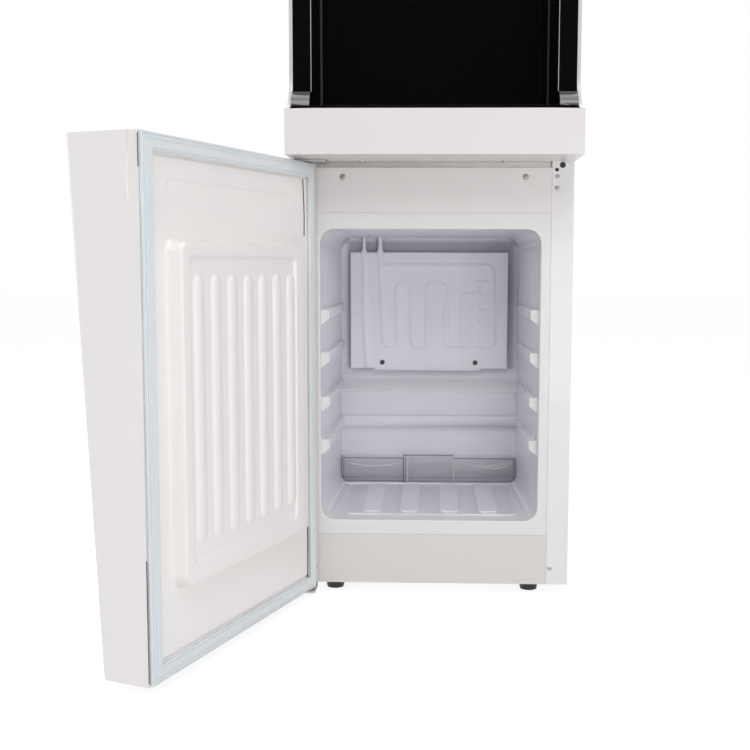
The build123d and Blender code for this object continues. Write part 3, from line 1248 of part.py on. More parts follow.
# Condenser on the back: one long tube folded to and fro, with upright wires across it
condenser_r = 2.4
condenser_y = back + 13.0
condenser_half = half_width - 43.0
condenser_runs = 10
condenser_pitch = 44.0
condenser_top_z = deck_z + 94.0
condenser_bottom_z = condenser_top_z - (condenser_runs - 1) * condenser_pitch
tail_x = half_width - 27.0
drier_x = -tail_x - 6.0
tail_in_y = rear_panel_y - 8.0
inlet_tail_z = condenser_top_z + 20.0
outlet_tail_z = condenser_top_z - 66.0
wire_r = 0.8
wire_count = 16
wire_pitch = 13.0
condenser_points = [(tail_x, tail_in_y, inlet_tail_z), (tail_x, condenser_y, inlet_tail_z),
                    (tail_x, condenser_y, condenser_top_z)]
for i in range(condenser_runs):
    run_z = condenser_top_z - i * condenser_pitch
    ends = (condenser_half, -condenser_half) if i % 2 == 0 else (-condenser_half, condenser_half)
    if i:
        condenser_points.append((ends[0], condenser_y, run_z))
    if i < condenser_runs - 1:
        condenser_points.append((ends[1], condenser_y, run_z))
condenser_points += [(drier_x, condenser_y, condenser_bottom_z), (drier_x, condenser_y, outlet_tail_z),
                     (drier_x, tail_in_y, outlet_tail_z)]

with BuildPart() as condenser:
    tube(condenser_points, 6.0, condenser_r)
    wire_z = ((condenser_top_z + condenser_bottom_z) / 2)
    wire_length = condenser_top_z - condenser_bottom_z + 16
    with Locations((0, condenser_y + condenser_r + wire_r - 0.4, wire_z)):
        with GridLocations(wire_pitch, 1, wire_count, 1):
            Cylinder(wire_r, wire_length)
pieces["condenser"] = condenser

clip_runs = (1, condenser_runs - 2)
clip_half = 3.3
clip_x = 7 * wire_pitch
with BuildPart() as condenser_clips:
    for i in clip_runs:
        z = condenser_top_z - i * condenser_pitch
        for x in (-clip_x, clip_x):
            block((x - clip_half, x + clip_half), (back, condenser_y + 5), (z - 7, z + 7))
    for i in clip_runs:
        z = condenser_top_z - i * condenser_pitch
        rod((-half_width, condenser_y, z), (half_width, condenser_y, z), condenser_r + fit_gap, Mode.SUBTRACT)
pieces["condenser_clips"] = condenser_clips

drier_r = 9.0
drier_y = back - 25.0
drier_z = (outlet_tail_z + 16.0, outlet_tail_z + 86.0)
with BuildPart() as filter_drier:
    rod((drier_x, drier_y, drier_z[0]), (drier_x, drier_y, drier_z[1]), drier_r)
    cone((drier_x, drier_y, drier_z[0] - 8), (drier_x, drier_y, drier_z[0]), condenser_r + 0.6, drier_r)
    cone((drier_x, drier_y, drier_z[1]), (drier_x, drier_y, drier_z[1] + 8), drier_r, 4.0)
pieces["filter_drier"] = filter_drier

# Copper lines between the compressor, the condenser, the drier, the plate and the coil
line_r = 2.5
capillary_r = 1.2
discharge_z = inlet_tail_z
suction_z = feed_top_z + 50.0
suction_off = evaporator_y - compressor_y - line_r
suction_end_x = compressor_x - (compressor_r**2 - suction_off**2) ** 0.5 - fit_gap
coil_line_z = tank_shelf_z - 10.0
dome_z = compressor_z[1]
with BuildPart() as refrigerant_lines:
    tube([(tail_x, tail_in_y - fit_gap, discharge_z), (tail_x, compressor_y, discharge_z),
          (compressor_x + compressor_r + fit_gap, compressor_y, discharge_z)], 8.0, line_r)
    tube([(drier_x, tail_in_y - fit_gap, outlet_tail_z), (drier_x, drier_y, outlet_tail_z),
          (drier_x, drier_y, drier_z[0] - 8 - fit_gap)], 4.0, condenser_r)
    tube([(feed_right[0], evaporator_y, feed_top_z + fit_gap), (feed_right[0], evaporator_y, suction_z),
          (suction_end_x, evaporator_y, suction_z)], 8.0, line_r)
    tube([(drier_x - 1.4, drier_y, drier_z[1] + 8 + fit_gap), (drier_x - 1.4, drier_y, drier_z[1] + 18),
          (drier_x + 26, drier_y - 10, drier_z[1] + 18), (feed_left[0], evaporator_y, drier_z[1] - 20),
          (feed_left[0], evaporator_y, feed_top_z + fit_gap)], 4.0, capillary_r)
    tube([(drier_x + 1.6, drier_y, drier_z[1] + 8 + fit_gap), (drier_x + 1.6, drier_y, coil_line_z - 8),
          (drier_x + 1.6, coil_tail_y, coil_line_z - 8), (cold_x, coil_tail_y, coil_line_z - 8),
          (cold_x, coil_tail_y, coil_line_z - fit_gap)], 4.0, capillary_r)
    tube([(cold_x, coil_tail_y, coil_top_z + fit_gap), (cold_x, coil_tail_y, coil_top_z + 14),
          (cold_x, back - 14, coil_top_z + 14), (cold_x, back - 14, dome_z + 24),
          (cold_x, compressor_y, dome_z + 24), (cold_x, compressor_y, dome_z + fit_gap)], 8.0, line_r)
pieces["refrigerant_lines"] = refrigerant_lines

# Control box beside the compressor, and the two switches at the back
box_x = (-half_width + 15.0, -30.0)
box_y = (front + 84.0, front + 164.0)
box_z = (deck_z + sheet, deck_z + sheet + 105.0)
box_wall = 2.5
box_rim = 12.0
box_gland = ((box_x[0] + box_x[1]) / 2, box_z[0] + 30.0)
with BuildPart() as control_box:
    slab(box_x, box_y, box_z, 6.0)
    slab(grown(box_x, 2), grown(box_y, 2), (box_z[1] - box_rim, box_z[1]), 7.0)
    slab(grown(box_x, -box_wall), grown(box_y, -box_wall), grown(box_z, -box_wall), 4.0, Mode.SUBTRACT)
    rod((box_gland[0], box_y[1] - 2, box_gland[1]), (box_gland[0], box_y[1] + 8, box_gland[1]), 7.0)
    rod((box_gland[0], box_y[1] - 6, box_gland[1]), (box_gland[0], box_y[1] + 9, box_gland[1]), 4.0,
        Mode.SUBTRACT)
pieces["control_box"] = control_box

switch_z = tank_shelf_z + 86.0
switch_x = (half_width - 58.0, half_width - 36.0)
switch_size = (14.0, 22.0)
switch_depth = 16.0
rocker_tilt = 7.0
rocker_nose = 10.5
rocker_waist = 7.0
rocker_axle_y = back - 6.0
rocker_axle_r = 1.6
housing_x = grown(switch_x, 13.0)
housing_z = (switch_z - 17.0, switch_z + 17.0)
with BuildPart() as switch_housing:
    front_slab(grown(housing_x, -3), (back - switch_depth, back), grown(housing_z, -3), 2.0)
    front_slab(housing_x, (back, back + 2), housing_z, 3.0)
    for x in switch_x:
        opening = (grown((x - switch_size[0] / 2, x + switch_size[0] / 2), 0.3),
                   grown((switch_z - switch_size[1] / 2, switch_z + switch_size[1] / 2), 2.4))
        block(opening[0], (back - switch_depth + 2, back + 3), opening[1], Mode.SUBTRACT)
        rod((opening[0][0] - 1.5, rocker_axle_y, switch_z), (opening[0][1] + 1.5, rocker_axle_y, switch_z),
            rocker_axle_r + 0.05, Mode.SUBTRACT)
pieces["switch_housing"] = switch_housing


def rocker(x):
    """Key tilted to its resting side, with an axle that sits in the switch housing."""
    half = switch_size[0] / 2
    tall = switch_size[1] / 2
    upright = ((-4, -5), (4, -tall), (rocker_nose, 0.5 - tall), (rocker_waist, 0), (rocker_nose, tall - 0.5),
               (4, tall), (-4, 5))
    tilt = (cos(radians(rocker_tilt)), sin(radians(rocker_tilt)))
    outline = [(rocker_axle_y + y * tilt[0] - z * tilt[1], switch_z + y * tilt[1] + z * tilt[0])
               for y, z in upright]
    side_profile(outline, (x - half, x + half))
    rod((x - half - 1.5, rocker_axle_y, switch_z), (x + half + 1.5, rocker_axle_y, switch_z), rocker_axle_r)


with BuildPart() as hot_switch:
    rocker(switch_x[0])
pieces["hot_switch"] = hot_switch
with BuildPart() as cold_switch:
    rocker(switch_x[1])
pieces["cold_switch"] = cold_switch

gland_x = half_width - 45.0
with BuildPart() as cord_gland:
    rod((gland_x, back - 12, fitting_z), (gland_x, back + 8, fitting_z), 6.0)
    rod((gland_x, back, fitting_z), (gland_x, back + 3, fitting_z), 9.0)
    cone((gland_x, back + 8, fitting_z), (gland_x, back + 16, fitting_z), 6.0, 4.6)
    rod((gland_x, back - 13, fitting_z), (gland_x, back + 17, fitting_z), 3.4, Mode.SUBTRACT)
pieces["cord_gland"] = cord_gland

# Sheet that closes the back, with air slots and holes for every fitting
slot_length = 56.0
slot_tall = 4.0
slot_rows = 8
slot_pitch_z = 10.0
with BuildPart() as rear_panel:
    block(inside_x, (rear_panel_y, back), (base_z, head_top_z - fit_gap))
    for x, z, r in [(inlet_x, fitting_z, 7.2), (gland_x, fitting_z, 6.2), (tail_x, inlet_tail_z, 4.0),
                    (drier_x, outlet_tail_z, 4.0)] + [(x, fitting_z, 6.2) for x in drain_x]:
        rod((x, rear_panel_y - 1, z), (x, back + 1, z), r, Mode.SUBTRACT)
    for x, z in rear_screws:
        rod((x, rear_panel_y - 1, z), (x, back + 1, z), screw_hole_r, Mode.SUBTRACT)
    block(grown(housing_x, -3 + fit_gap), (rear_panel_y - 1, back + 1), grown(housing_z, -3 + fit_gap),
          Mode.SUBTRACT)
    with BuildSketch(Plane.XZ.offset(-(rear_panel_y - 1))) as air_slots:
        for z in (fitting_z + 200, fitting_z + 310):
            with Locations((0, z)):
                with GridLocations(slot_length + 18, slot_pitch_z, 3, slot_rows):
                    SlotOverall(slot_length, slot_tall)
    extrude(air_slots.sketch, amount=-(sheet + 2), mode=Mode.SUBTRACT)
pieces["rear_panel"] = rear_panel

for name, built in pieces.items():
    built.part.label = name
    export_step(built.part, f"parts/{name}.step")
for name, built in door_pieces.items():
    opened = built.part.rotate(Axis((hinge_x, hinge_y, 0), (0, 0, 1)), -door_rest_angle)
    opened.label = name
    export_step(opened, f"parts/{name}.step")
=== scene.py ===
"""Dresses the water cooler's solids with detailed meshes and finishes, and sets up the studio."""

import json
import logging
import math
from collections.abc import Iterable, Iterator, Sequence
from contextlib import contextmanager
from dataclasses import dataclass
from enum import Enum
from typing import Any

import bmesh
import bpy
import numpy as np
from mathutils import Matrix, Vector

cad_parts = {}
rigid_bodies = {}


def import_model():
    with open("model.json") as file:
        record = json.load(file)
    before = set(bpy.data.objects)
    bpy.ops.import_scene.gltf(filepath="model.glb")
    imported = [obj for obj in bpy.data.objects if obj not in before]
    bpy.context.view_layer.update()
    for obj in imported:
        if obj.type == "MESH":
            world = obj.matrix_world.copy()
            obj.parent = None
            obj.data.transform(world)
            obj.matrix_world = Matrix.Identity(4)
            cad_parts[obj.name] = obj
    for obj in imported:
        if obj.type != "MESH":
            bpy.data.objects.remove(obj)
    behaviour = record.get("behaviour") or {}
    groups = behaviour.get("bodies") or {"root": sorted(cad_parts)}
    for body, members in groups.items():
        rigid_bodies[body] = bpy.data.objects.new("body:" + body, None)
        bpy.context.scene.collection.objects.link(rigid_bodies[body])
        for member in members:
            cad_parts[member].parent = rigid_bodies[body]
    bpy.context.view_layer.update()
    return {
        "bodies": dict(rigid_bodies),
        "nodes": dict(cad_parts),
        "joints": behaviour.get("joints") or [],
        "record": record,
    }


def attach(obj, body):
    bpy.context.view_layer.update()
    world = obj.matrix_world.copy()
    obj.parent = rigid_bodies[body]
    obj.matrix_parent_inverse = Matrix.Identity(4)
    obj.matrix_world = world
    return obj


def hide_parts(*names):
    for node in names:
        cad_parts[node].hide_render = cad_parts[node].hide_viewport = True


LOG = logging.getLogger("cooler")
MM = 0.001
FRONT = -130.0
BACK = 130.0
HALF_WIDTH = 155.0
HINGE = (-145.5, -144.5)
MERGE = 0.004 * MM
SAME_PLACE = 0.001 * MM
FLAT = math.radians(0.4)
SHARP = math.radians(40.0)
LONG_EDGE = 3.0

Pair = tuple[float, float]
Triple = tuple[float, float, float]
Colour = tuple[float, float, float]
Line = Sequence[Pair]

EVEN = (1.0, 1.0, 1.0)
WHITE = (1.0, 1.0, 1.0, 1.0)


class Turn(Enum):
    """Whether a piece is drawn in the cabinet's place or in the closed door's place."""

    CABINET = 0.0
    DOOR = -111.1


class Wire:
    """A shader socket that can be used in sums, differences and products."""

    def __init__(self, paint: "Paint", socket: Any) -> None:
        """Keeps the material and its output socket."""
        self.paint = paint
        self.socket = socket

    def _math(self, operation: str, *values: Any) -> "Wire":
        """Result of one Math node."""
        return self.paint.node("ShaderNodeMath", {"operation": operation}, dict(enumerate(values)))

    def __add__(self, other: Any) -> "Wire":
        """Sum."""
        return self._math("ADD", self, other)

    def __radd__(self, other: Any) -> "Wire":
        """Sum with a number on the left."""
        return self._math("ADD", other, self)

    def __sub__(self, other: Any) -> "Wire":
        """Difference."""
        return self._math("SUBTRACT", self, other)

    def __rsub__(self, other: Any) -> "Wire":
        """Difference from a number."""
        return self._math("SUBTRACT", other, self)

    def __mul__(self, other: Any) -> "Wire":
        """Product."""
        return self._math("MULTIPLY", self, other)

    def __rmul__(self, other: Any) -> "Wire":
        """Product with a number on the left."""
        return self._math("MULTIPLY", other, self)

    def clipped(self) -> "Wire":
        """Value held between nought and one."""
        return self.paint.node("ShaderNodeClamp", {}, {"Value": self})

    def between(self, low: float, high: float) -> "Wire":
        """Nought below the low limit, one above the high one, and a smooth rise from one to the other."""
        inputs = {"Value": self, "From Min": low, "From Max": high}
        return self.paint.node("ShaderNodeMapRange", {"interpolation_type": "SMOOTHSTEP"}, inputs)


def feed(tree: Any, socket: Any, value: Any) -> None:
    """Sets or links one input.

    Args:
        tree: The node tree that it belongs to.
        socket: The input socket.
        value: A number, a colour, a wire or an output socket.
    """
    value = value.socket if isinstance(value, Wire) else value
    if isinstance(value, bpy.types.NodeSocket):
        tree.links.new(value, socket)
    elif socket.type == "RGBA" and len(value) == 3:
        socket.default_value = (*value, 1.0)
    else:
        socket.default_value = value


def add_node(tree: Any, kind: str, settings: dict[str, Any], inputs: dict[Any, Any]) -> Any:
    """Adds one node to a tree of any kind.

    Args:
        tree: The node tree.
        kind: The node's type.
        settings: Its properties, which are set first.
        inputs: Socket name or number to what feeds it.

    Returns:
        The node.
    """
    made = tree.nodes.new(kind)
    for key, value in settings.items():
        setattr(made, key, value)
    for key, value in inputs.items():
        feed(tree, made.inputs[key], value)
    return made


class Paint:
    """One material under construction."""

    def __init__(self, name: str) -> None:
        """Makes an empty material with one Principled shader.

        Args:
            name: The material's name.
        """
        self.material = bpy.data.materials.new(name)
        self.material.use_nodes = True
        self.tree = self.material.node_tree
        self.tree.nodes.clear()
        self.shader = self.tree.nodes.new("ShaderNodeBsdfPrincipled")
        self.output = add_node(self.tree, "ShaderNodeOutputMaterial", {}, {"Surface": self.shader.outputs[0]})

    def node(self, kind: str, settings: dict[str, Any], inputs: dict[Any, Any], out: Any = 0) -> Wire:
        """Adds one node and gives the wanted output."""
        return Wire(self, add_node(self.tree, kind, settings, inputs).outputs[out])

    def place(self, scale: Triple = EVEN) -> Wire:
        """Object coordinates, stretched by a factor along each axis."""
        where = self.node("ShaderNodeTexCoord", {}, {}, "Object")
        return self.node("ShaderNodeMapping", {}, {"Vector": where, "Scale": scale})

    def along(self, axis: str) -> Wire:
        """Object coordinate along one axis, in metres."""
        where = self.node("ShaderNodeTexCoord", {}, {}, "Object")
        return self.node("ShaderNodeSeparateXYZ", {}, {"Vector": where}, axis)

    def band(self, axis: str, rise: Pair, fall: Pair) -> Wire:
        """One between the rise and the fall along an axis, and nought outside them."""
        return self.along(axis).between(*rise) * (1.0 - self.along(axis).between(*fall))

    def noise(self, scale: float, detail: float = 3.0, stretch: Triple = EVEN) -> Wire:
        """Smooth noise between nought and one, at so many waves per metre."""
        inputs = {"Vector": self.place(stretch), "Scale": scale, "Detail": detail, "Roughness": 0.55}
        return self.node("ShaderNodeTexNoise", {}, inputs)

    def blend(self, share: Any, low: Any, high: Any) -> Wire:
        """Colour between two colours."""
        return self.node("ShaderNodeMix", {"data_type": "RGBA"}, {"Factor": share, 6: low, 7: high}, 2)

    def bump(self, height: Wire, distance: float) -> Wire:
        """Normal bent by a height, in metres."""
        return self.node("ShaderNodeBump", {}, {"Height": height, "Distance": distance, "Strength": 1.0})

    def set(self, **values: Any) -> None:
        """Sets the shader's sockets by name, with underscores for spaces."""
        for key, value in values.items():
            feed(self.tree, self.shader.inputs[key.replace("_", " ")], value)


def scaled(colour: Colour, share: float) -> Colour:
    """Colour made darker or lighter, no part of it above one."""
    return tuple(min(1.0, c * share) for c in colour)


@dataclass(frozen=True)
class Finish:
    """What every finish has: its material's name, and its own way to fill the material."""

    name: str

    def make(self) -> bpy.types.Material:
        """Builds the material.

        Returns:
            The finished material.
        """
        paint = Paint(self.name)
        self.fill(paint)
        return paint.material

    def fill(self, paint: Paint) -> None:
        """Sets the shader's sockets."""
        raise NotImplementedError


@dataclass(frozen=True)
class Moulded(Finish):
    """Moulded plastic or sprayed enamel: slight orange peel, faint mottling and fine scuffs."""

    colour: Colour
    roughness: float
    coat: float
    mottle: float
    peel: float = 0.00004
    grain: float = 0.0

    def fill(self, paint: Paint) -> None:
        """Sets the shader's sockets.

        Args:
            paint: The material to fill.
        """
        drift = paint.noise(9.0, 2.0)
        scuff = paint.noise(160.0, 4.0, (1.0, 1.0, 0.25))
        darker, lighter = scaled(self.colour, 1.0 - self.mottle), scaled(self.colour, 1.0 + self.mottle * 0.5)
        height = paint.noise(420.0, 2.0) + paint.noise(2600.0, 1.0) * self.grain
        paint.set(
            Base_Color=paint.blend(drift, darker, lighter),
            Roughness=(self.roughness + (scuff - 0.5) * 0.12 + (drift - 0.5) * 0.06).clipped(),
            Coat_Weight=self.coat,
            Coat_Roughness=0.04,
            Specular_IOR_Level=0.5,
            Normal=paint.bump(height, self.peel),
        )


@dataclass(frozen=True)
class Metal(Finish):
    """Sheet, turned or drawn metal with a direction of brushing."""

    colour: Colour
    roughness: float
    tarnish: float
    depth: float = 0.00002
    brush: Triple = EVEN

    def fill(self, paint: Paint) -> None:
        """Sets the shader's sockets.

        Args:
            paint: The material to fill.
        """
        lines = paint.noise(90.0, 5.0, self.brush)
        cloud = paint.noise(26.0)
        paint.set(
            Base_Color=paint.blend(cloud, scaled(self.colour, 1.0 - self.tarnish * 2.0), self.colour),
            Metallic=1.0,
            Roughness=(self.roughness + (lines - 0.5) * 0.22 + (cloud - 0.5) * self.tarnish).clipped(),
            Normal=paint.bump(lines, self.depth),
        )


@dataclass(frozen=True)
class Clear(Finish):
    """Clear moulded plastic: open where it is seen square on, denser and bluish where it is seen edge on."""

    face: Colour
    edge: Colour
    roughness: float
    open_share: float
    edge_share: float
    slant: Pair = (0.55, 0.98)

    def fill(self, paint: Paint) -> None:
        """Sets the shader's sockets.

        Args:
            paint: The material to fill.
        """
        flow = paint.noise(38.0, 3.0, (1.0, 1.0, 3.0))
        slant = paint.node("ShaderNodeLayerWeight", {}, {"Blend": 0.5}, "Facing").between(*self.slant)
        paint.set(
            Base_Color=paint.blend(slant, self.face, self.edge),
            Roughness=(self.roughness + (flow - 0.5) * 0.06).clipped(),
            Alpha=(self.open_share + (self.edge_share - self.open_share) * slant + (flow - 0.5) * 0.04).clipped(),
            Normal=paint.bump(flow, 0.00012),
        )


@dataclass(frozen=True)
class Lining(Finish):
    """Vacuum-formed lining: warm white at the mouth, a painted lilac tint of bluish bounce light further in, a
    painted shadow behind the cooling plate and painted shade on the floor pad between its ribs.
    """

    mouth: Colour
    # painted light: lilac tint that stands in for the bluish bounce light deeper in the cavity
    deep_bounce_light: Colour
    inward_y: Pair = (-0.128, -0.085)
    # painted shadow: dark lilac grey painted on the back wall round the cooling plate
    gap: Colour = (0.19, 0.19, 0.245)
    plate_shadow_share: float = 0.55
    plate_shadow_x: tuple[Pair, Pair] = ((-0.1165, -0.1095), (0.1015, 0.1125))
    plate_shadow_z: tuple[Pair, Pair] = ((0.236, 0.242), (0.4035, 0.4115))
    plate_shadow_y: Pair = (0.062, 0.074)
    # painted shade: grey that darkens the floor pad's surfaces between its ribs
    pad: Colour = (0.45, 0.45, 0.49)
    pad_shade_share: float = 0.2
    pad_z: tuple[Pair, Pair] = ((0.0858, 0.0866), (0.0874, 0.0889))
    pad_y: tuple[Pair, Pair] = ((-0.107, -0.104), (0.054, 0.058))
    cloud: Colour = (0.60, 0.60, 0.64)

    def fill(self, paint: Paint) -> None:
        """Sets the shader's sockets.

        Args:
            paint: The material to fill.
        """
        # painted light: the lining turns to the lilac bounce-light tint further in
        inward = paint.along("Y").between(*self.inward_y)
        drift = paint.noise(7.0, 2.0)
        scuff = paint.noise(140.0, 4.0)
        # painted shadow: masks the back wall round the cooling plate, where the lining is darkened
        plate_shadow_mask = paint.along("Y").between(*self.plate_shadow_y) * paint.band("X", *self.plate_shadow_x) * paint.band("Z", *self.plate_shadow_z)
        # painted shade: masks the floor pad's surfaces between the ribs, where the lining is darkened
        low = paint.band("Z", *self.pad_z) * paint.band("Y", *self.pad_y)
        shade = paint.blend(inward, self.mouth, self.deep_bounce_light)
        shade = paint.blend(plate_shadow_mask * self.plate_shadow_share, shade, self.gap)
        shade = paint.blend(low * self.pad_shade_share, shade, self.pad)
        paint.set(
            Base_Color=paint.blend((drift - 0.4) * 0.06, shade, self.cloud),
            Roughness=(0.36 + (scuff - 0.5) * 0.14).clipped(),
            Coat_Weight=0.08,
            Normal=paint.bump(paint.noise(300.0, 2.0) + scuff * 0.4, 0.00007),
        )


@dataclass(frozen=True)
class Foamed(Finish):
    """Rigid foam with small open cells."""

    colour: Colour

    def fill(self, paint: Paint) -> None:
        """Sets the shader's sockets.

        Args:
            paint: The material to fill.
        """
        cells = paint.node("ShaderNodeTexVoronoi", {}, {"Vector": paint.place(), "Scale": 900.0})
        cloud = paint.noise(30.0)
        paint.set(
            Base_Color=paint.blend(cloud, scaled(self.colour, 0.86), self.colour),
            Roughness=(0.86 + (cloud - 0.5) * 0.1).clipped(),
            Normal=paint.bump(cells, 0.0004),
        )


FINISHES = {
    "enamel": Moulded("white_enamel", (0.81, 0.80, 0.79), 0.34, 0.2, 0.012, 0.00005),
    "white": Moulded("white_plastic", (0.80, 0.768, 0.755), 0.32, 0.15, 0.014),
    "door_white": Moulded("door_plastic", (0.865, 0.838, 0.825), 0.32, 0.15, 0.012),
    "strip": Moulded("strip_plastic", (0.71, 0.685, 0.658), 0.36, 0.1, 0.012),
    "frame_white": Moulded("frame_plastic", (0.62, 0.598, 0.58), 0.36, 0.1, 0.012),
    # the second colour is the painted lilac tint of bounce light deeper in the cavity
    "liner": Lining("liner_plastic", (0.78, 0.772, 0.77), (0.84, 0.831, 0.882)),
    "dark_steel": Metal("dark_steel", (0.10, 0.095, 0.10), 0.4, 0.1),
    "door_liner": Moulded("door_liner_plastic", (0.885, 0.86, 0.842), 0.36, 0.1, 0.016, 0.00008),
    "black": Moulded("black_gloss", (0.004, 0.0035, 0.003), 0.07, 0.3, 0.1, 0.00001),
    # painted highlights: grey gloss lines that stand in for reflections on the niche's rounded edges
    "highlight_line": Moulded("painted_highlight", (0.42, 0.41, 0.41), 0.2, 0.5, 0.1, 0.00001),
    "faint_highlight_line": Moulded("painted_faint_highlight", (0.10, 0.095, 0.09), 0.2, 0.5, 0.1, 0.00001),
    "black_matte": Moulded("black_plastic", (0.02, 0.02, 0.021), 0.5, 0.0, 0.12, 0.00008, 0.4),
    "grey": Moulded("grey_plastic", (0.36, 0.37, 0.39), 0.45, 0.0, 0.05, 0.00006, 0.3),
    "natural": Moulded("natural_plastic", (0.74, 0.73, 0.69), 0.42, 0.0, 0.05, 0.00006, 0.2),
    "seal": Moulded("seal_rubber", (0.74, 0.785, 0.805), 0.5, 0.0, 0.03, 0.00004, 0.3),
    "rubber": Moulded("black_rubber", (0.018, 0.018, 0.018), 0.62, 0.0, 0.15, 0.0001, 0.6),
    "red": Moulded("red_plastic", (0.56, 0.02, 0.02), 0.28, 0.3, 0.04),
    "blue": Moulded("blue_plastic", (0.03, 0.12, 0.50), 0.28, 0.3, 0.04),
    "pale": Moulded("pale_plastic", (0.74, 0.76, 0.76), 0.28, 0.3, 0.02),
    "grey_enamel": Moulded("grey_enamel", (0.50, 0.50, 0.51), 0.4, 0.1, 0.03, 0.00006),
    "dark_enamel": Moulded("dark_enamel", (0.03, 0.03, 0.032), 0.36, 0.2, 0.1, 0.00007),
    "steel": Metal("stainless_steel", (0.62, 0.62, 0.62), 0.28, 0.06, 0.00003, (60.0, 1.0, 1.0)),
    "bright_zinc": Metal("bright_zinc", (0.52, 0.51, 0.50), 0.3, 0.08),
    "zinc": Metal("zinc_plate", (0.60, 0.60, 0.61), 0.3, 0.1),
    "galvanised": Metal("galvanised_steel", (0.62, 0.60, 0.575), 0.46, 0.14, 0.00003),
    "copper": Metal("copper_tube", (0.74, 0.36, 0.22), 0.3, 0.14),
    "plate": Moulded("plate_enamel", (0.90, 0.885, 0.93), 0.38, 0.1, 0.02, 0.00005),
    "clear": Clear("clear_plastic", (0.93, 0.93, 1.0), (0.56, 0.56, 0.70), 0.1, 0.07, 0.55),
    # painted shade: dark bluish lines along the clear tray's edges
    "edge": Clear("painted_dark_edge", (0.22, 0.22, 0.34), (0.30, 0.30, 0.44), 0.12, 0.75, 0.95),
    "shelf_clear": Clear("shelf_plastic", (0.88, 0.88, 0.89), (0.66, 0.66, 0.70), 0.16, 0.07, 0.42),
    # painted highlight: light lines on the tray's arcs and its tab's edges
    "bead": Clear("painted_highlight_bead", (0.93, 0.93, 0.95), (0.80, 0.80, 0.86), 0.12, 0.55, 0.9),
    "lens": Clear("lens_plastic", (0.80, 0.85, 0.86), (0.55, 0.60, 0.62), 0.2, 0.6, 0.9),
    "foam": Foamed("rigid_foam", (0.80, 0.72, 0.48)),
}

NODE_FINISH = {node: finish for finish, nodes in {
    "galvanised": "base_tray hinge_top hinge_bottom deck tank_shelf",
    "black_matte": "feet drip_tray condenser_clips switch_housing cord_gland",
    "zinc": "foot_screws pan_screws fold_screws",
    "enamel": "side_panel_left side_panel_right",
    "foam": "cabinet_foam door_foam cold_tank_insulation hot_tank_insulation",
    "white": "upper_front_panel drip_housing fascia taps top_cover inlet_fitting drain_outlets",
    "steel": "drip_grille cold_tank hot_tank hot_tank_heater",
    "black": "niche_panel control_panel",
    "red": "hot_button hot_lock hot_switch",
    "blue": "cold_button cold_switch",
    "natural": "tap_valves inlet_valve water_hoses control_box",
    "copper": "cooling_coil filter_drier refrigerant_lines",
    "dark_enamel": "compressor condenser",
    "liner": "cabinet_liner", "strip": "lower_front_panel", "plate": "evaporator_plate", "shelf_clear": "shelf",
    "clear": "catch_tray", "door_white": "door_shell", "grey": "door_bushes", "door_liner": "door_liner",
    "seal": "door_gasket", "frame_white": "side_frames", "lens": "indicator_lenses", "pale": "ambient_button",
    "rubber": "compressor_grommets", "grey_enamel": "rear_panel",
}.items() for node in nodes.split()}


def linked(name: str, data: Any) -> bpy.types.Object:
    """New object in the scene."""
    made = bpy.data.objects.new(name, data)
    bpy.context.scene.collection.objects.link(made)
    return made


@contextmanager
def editing(mesh: bpy.types.Mesh, source: bpy.types.Mesh | None = None) -> Iterator[bmesh.types.BMesh]:
    """Opens a mesh for editing and writes it back at the end.

    Args:
        mesh: The mesh that takes the result.
        source: The mesh to start from, if it is another one.

    Yields:
        The open shape.
    """
    shape = bmesh.new()
    shape.from_mesh(source or mesh)
    yield shape
    shape.to_mesh(mesh)
    shape.free()


def turned_out(mesh: bpy.types.Mesh) -> bpy.types.Mesh:
    """Gives a closed mesh outward faces.

    Args:
        mesh: The mesh, which is changed.

    Returns:
        The same mesh.
    """
    with editing(mesh) as shape:
        bmesh.ops.remove_doubles(shape, verts=shape.verts, dist=SAME_PLACE)
        bmesh.ops.recalc_face_normals(shape, faces=shape.faces)
    return mesh


def evaluated(item: bpy.types.Object) -> bpy.types.Mesh:
    """Plain mesh of an object with its modifiers, which are then removed from it."""
    mesh = bpy.data.meshes.new_from_object(item.evaluated_get(bpy.context.evaluated_depsgraph_get()))
    item.modifiers.clear()
    return mesh


def fresh_mesh(name: str, points: Iterable[Sequence[float]], edges: Sequence[Sequence[int]],
               faces: Sequence[Sequence[int]]) -> bpy.types.Mesh:
    """Mesh from points in millimetres."""
    mesh = bpy.data.meshes.new(name)
    mesh.from_pydata([tuple(c * MM for c in p) for p in points], list(edges), list(faces))
    return mesh


def ring(radius: float, z: float, count: int, centre: Pair = (0.0, 0.0), squash: float = 1.0) -> list[Triple]:
    """Points of a level ring, in millimetres.

    Args:
        radius: Its size across.
        z: Its height.
        count: How many points it has.
        centre: Its middle.
        squash: Its size along Y as a share of that across.

    Returns:
        The points, in order.
    """
    angles = [math.tau * i / count for i in range(count)]
    return [(centre[0] + radius * math.cos(a), centre[1] + radius * squash * math.sin(a), z) for a in angles]


def sleeve(rows: int, count: int, closed: bool = False) -> list[tuple[int, ...]]:
    """Faces between rings whose points are numbered ring after ring.

    Args:
        rows: How many rings there are.
        count: Points in each ring.
        closed: Whether the last ring joins the first one, instead of both having a cap.

    Returns:
        The faces.
    """
    faces: list[tuple[int, ...]] = []
    for k in range(rows if closed else rows - 1):
        low, high = k * count, (k + 1) % rows * count
        faces += [(low + i, low + (i + 1) % count, high + (i + 1) % count, high + i) for i in range(count)]
    if not closed:
        faces += [tuple(range(count))[::-1], tuple(range((rows - 1) * count, rows * count))]
    return faces


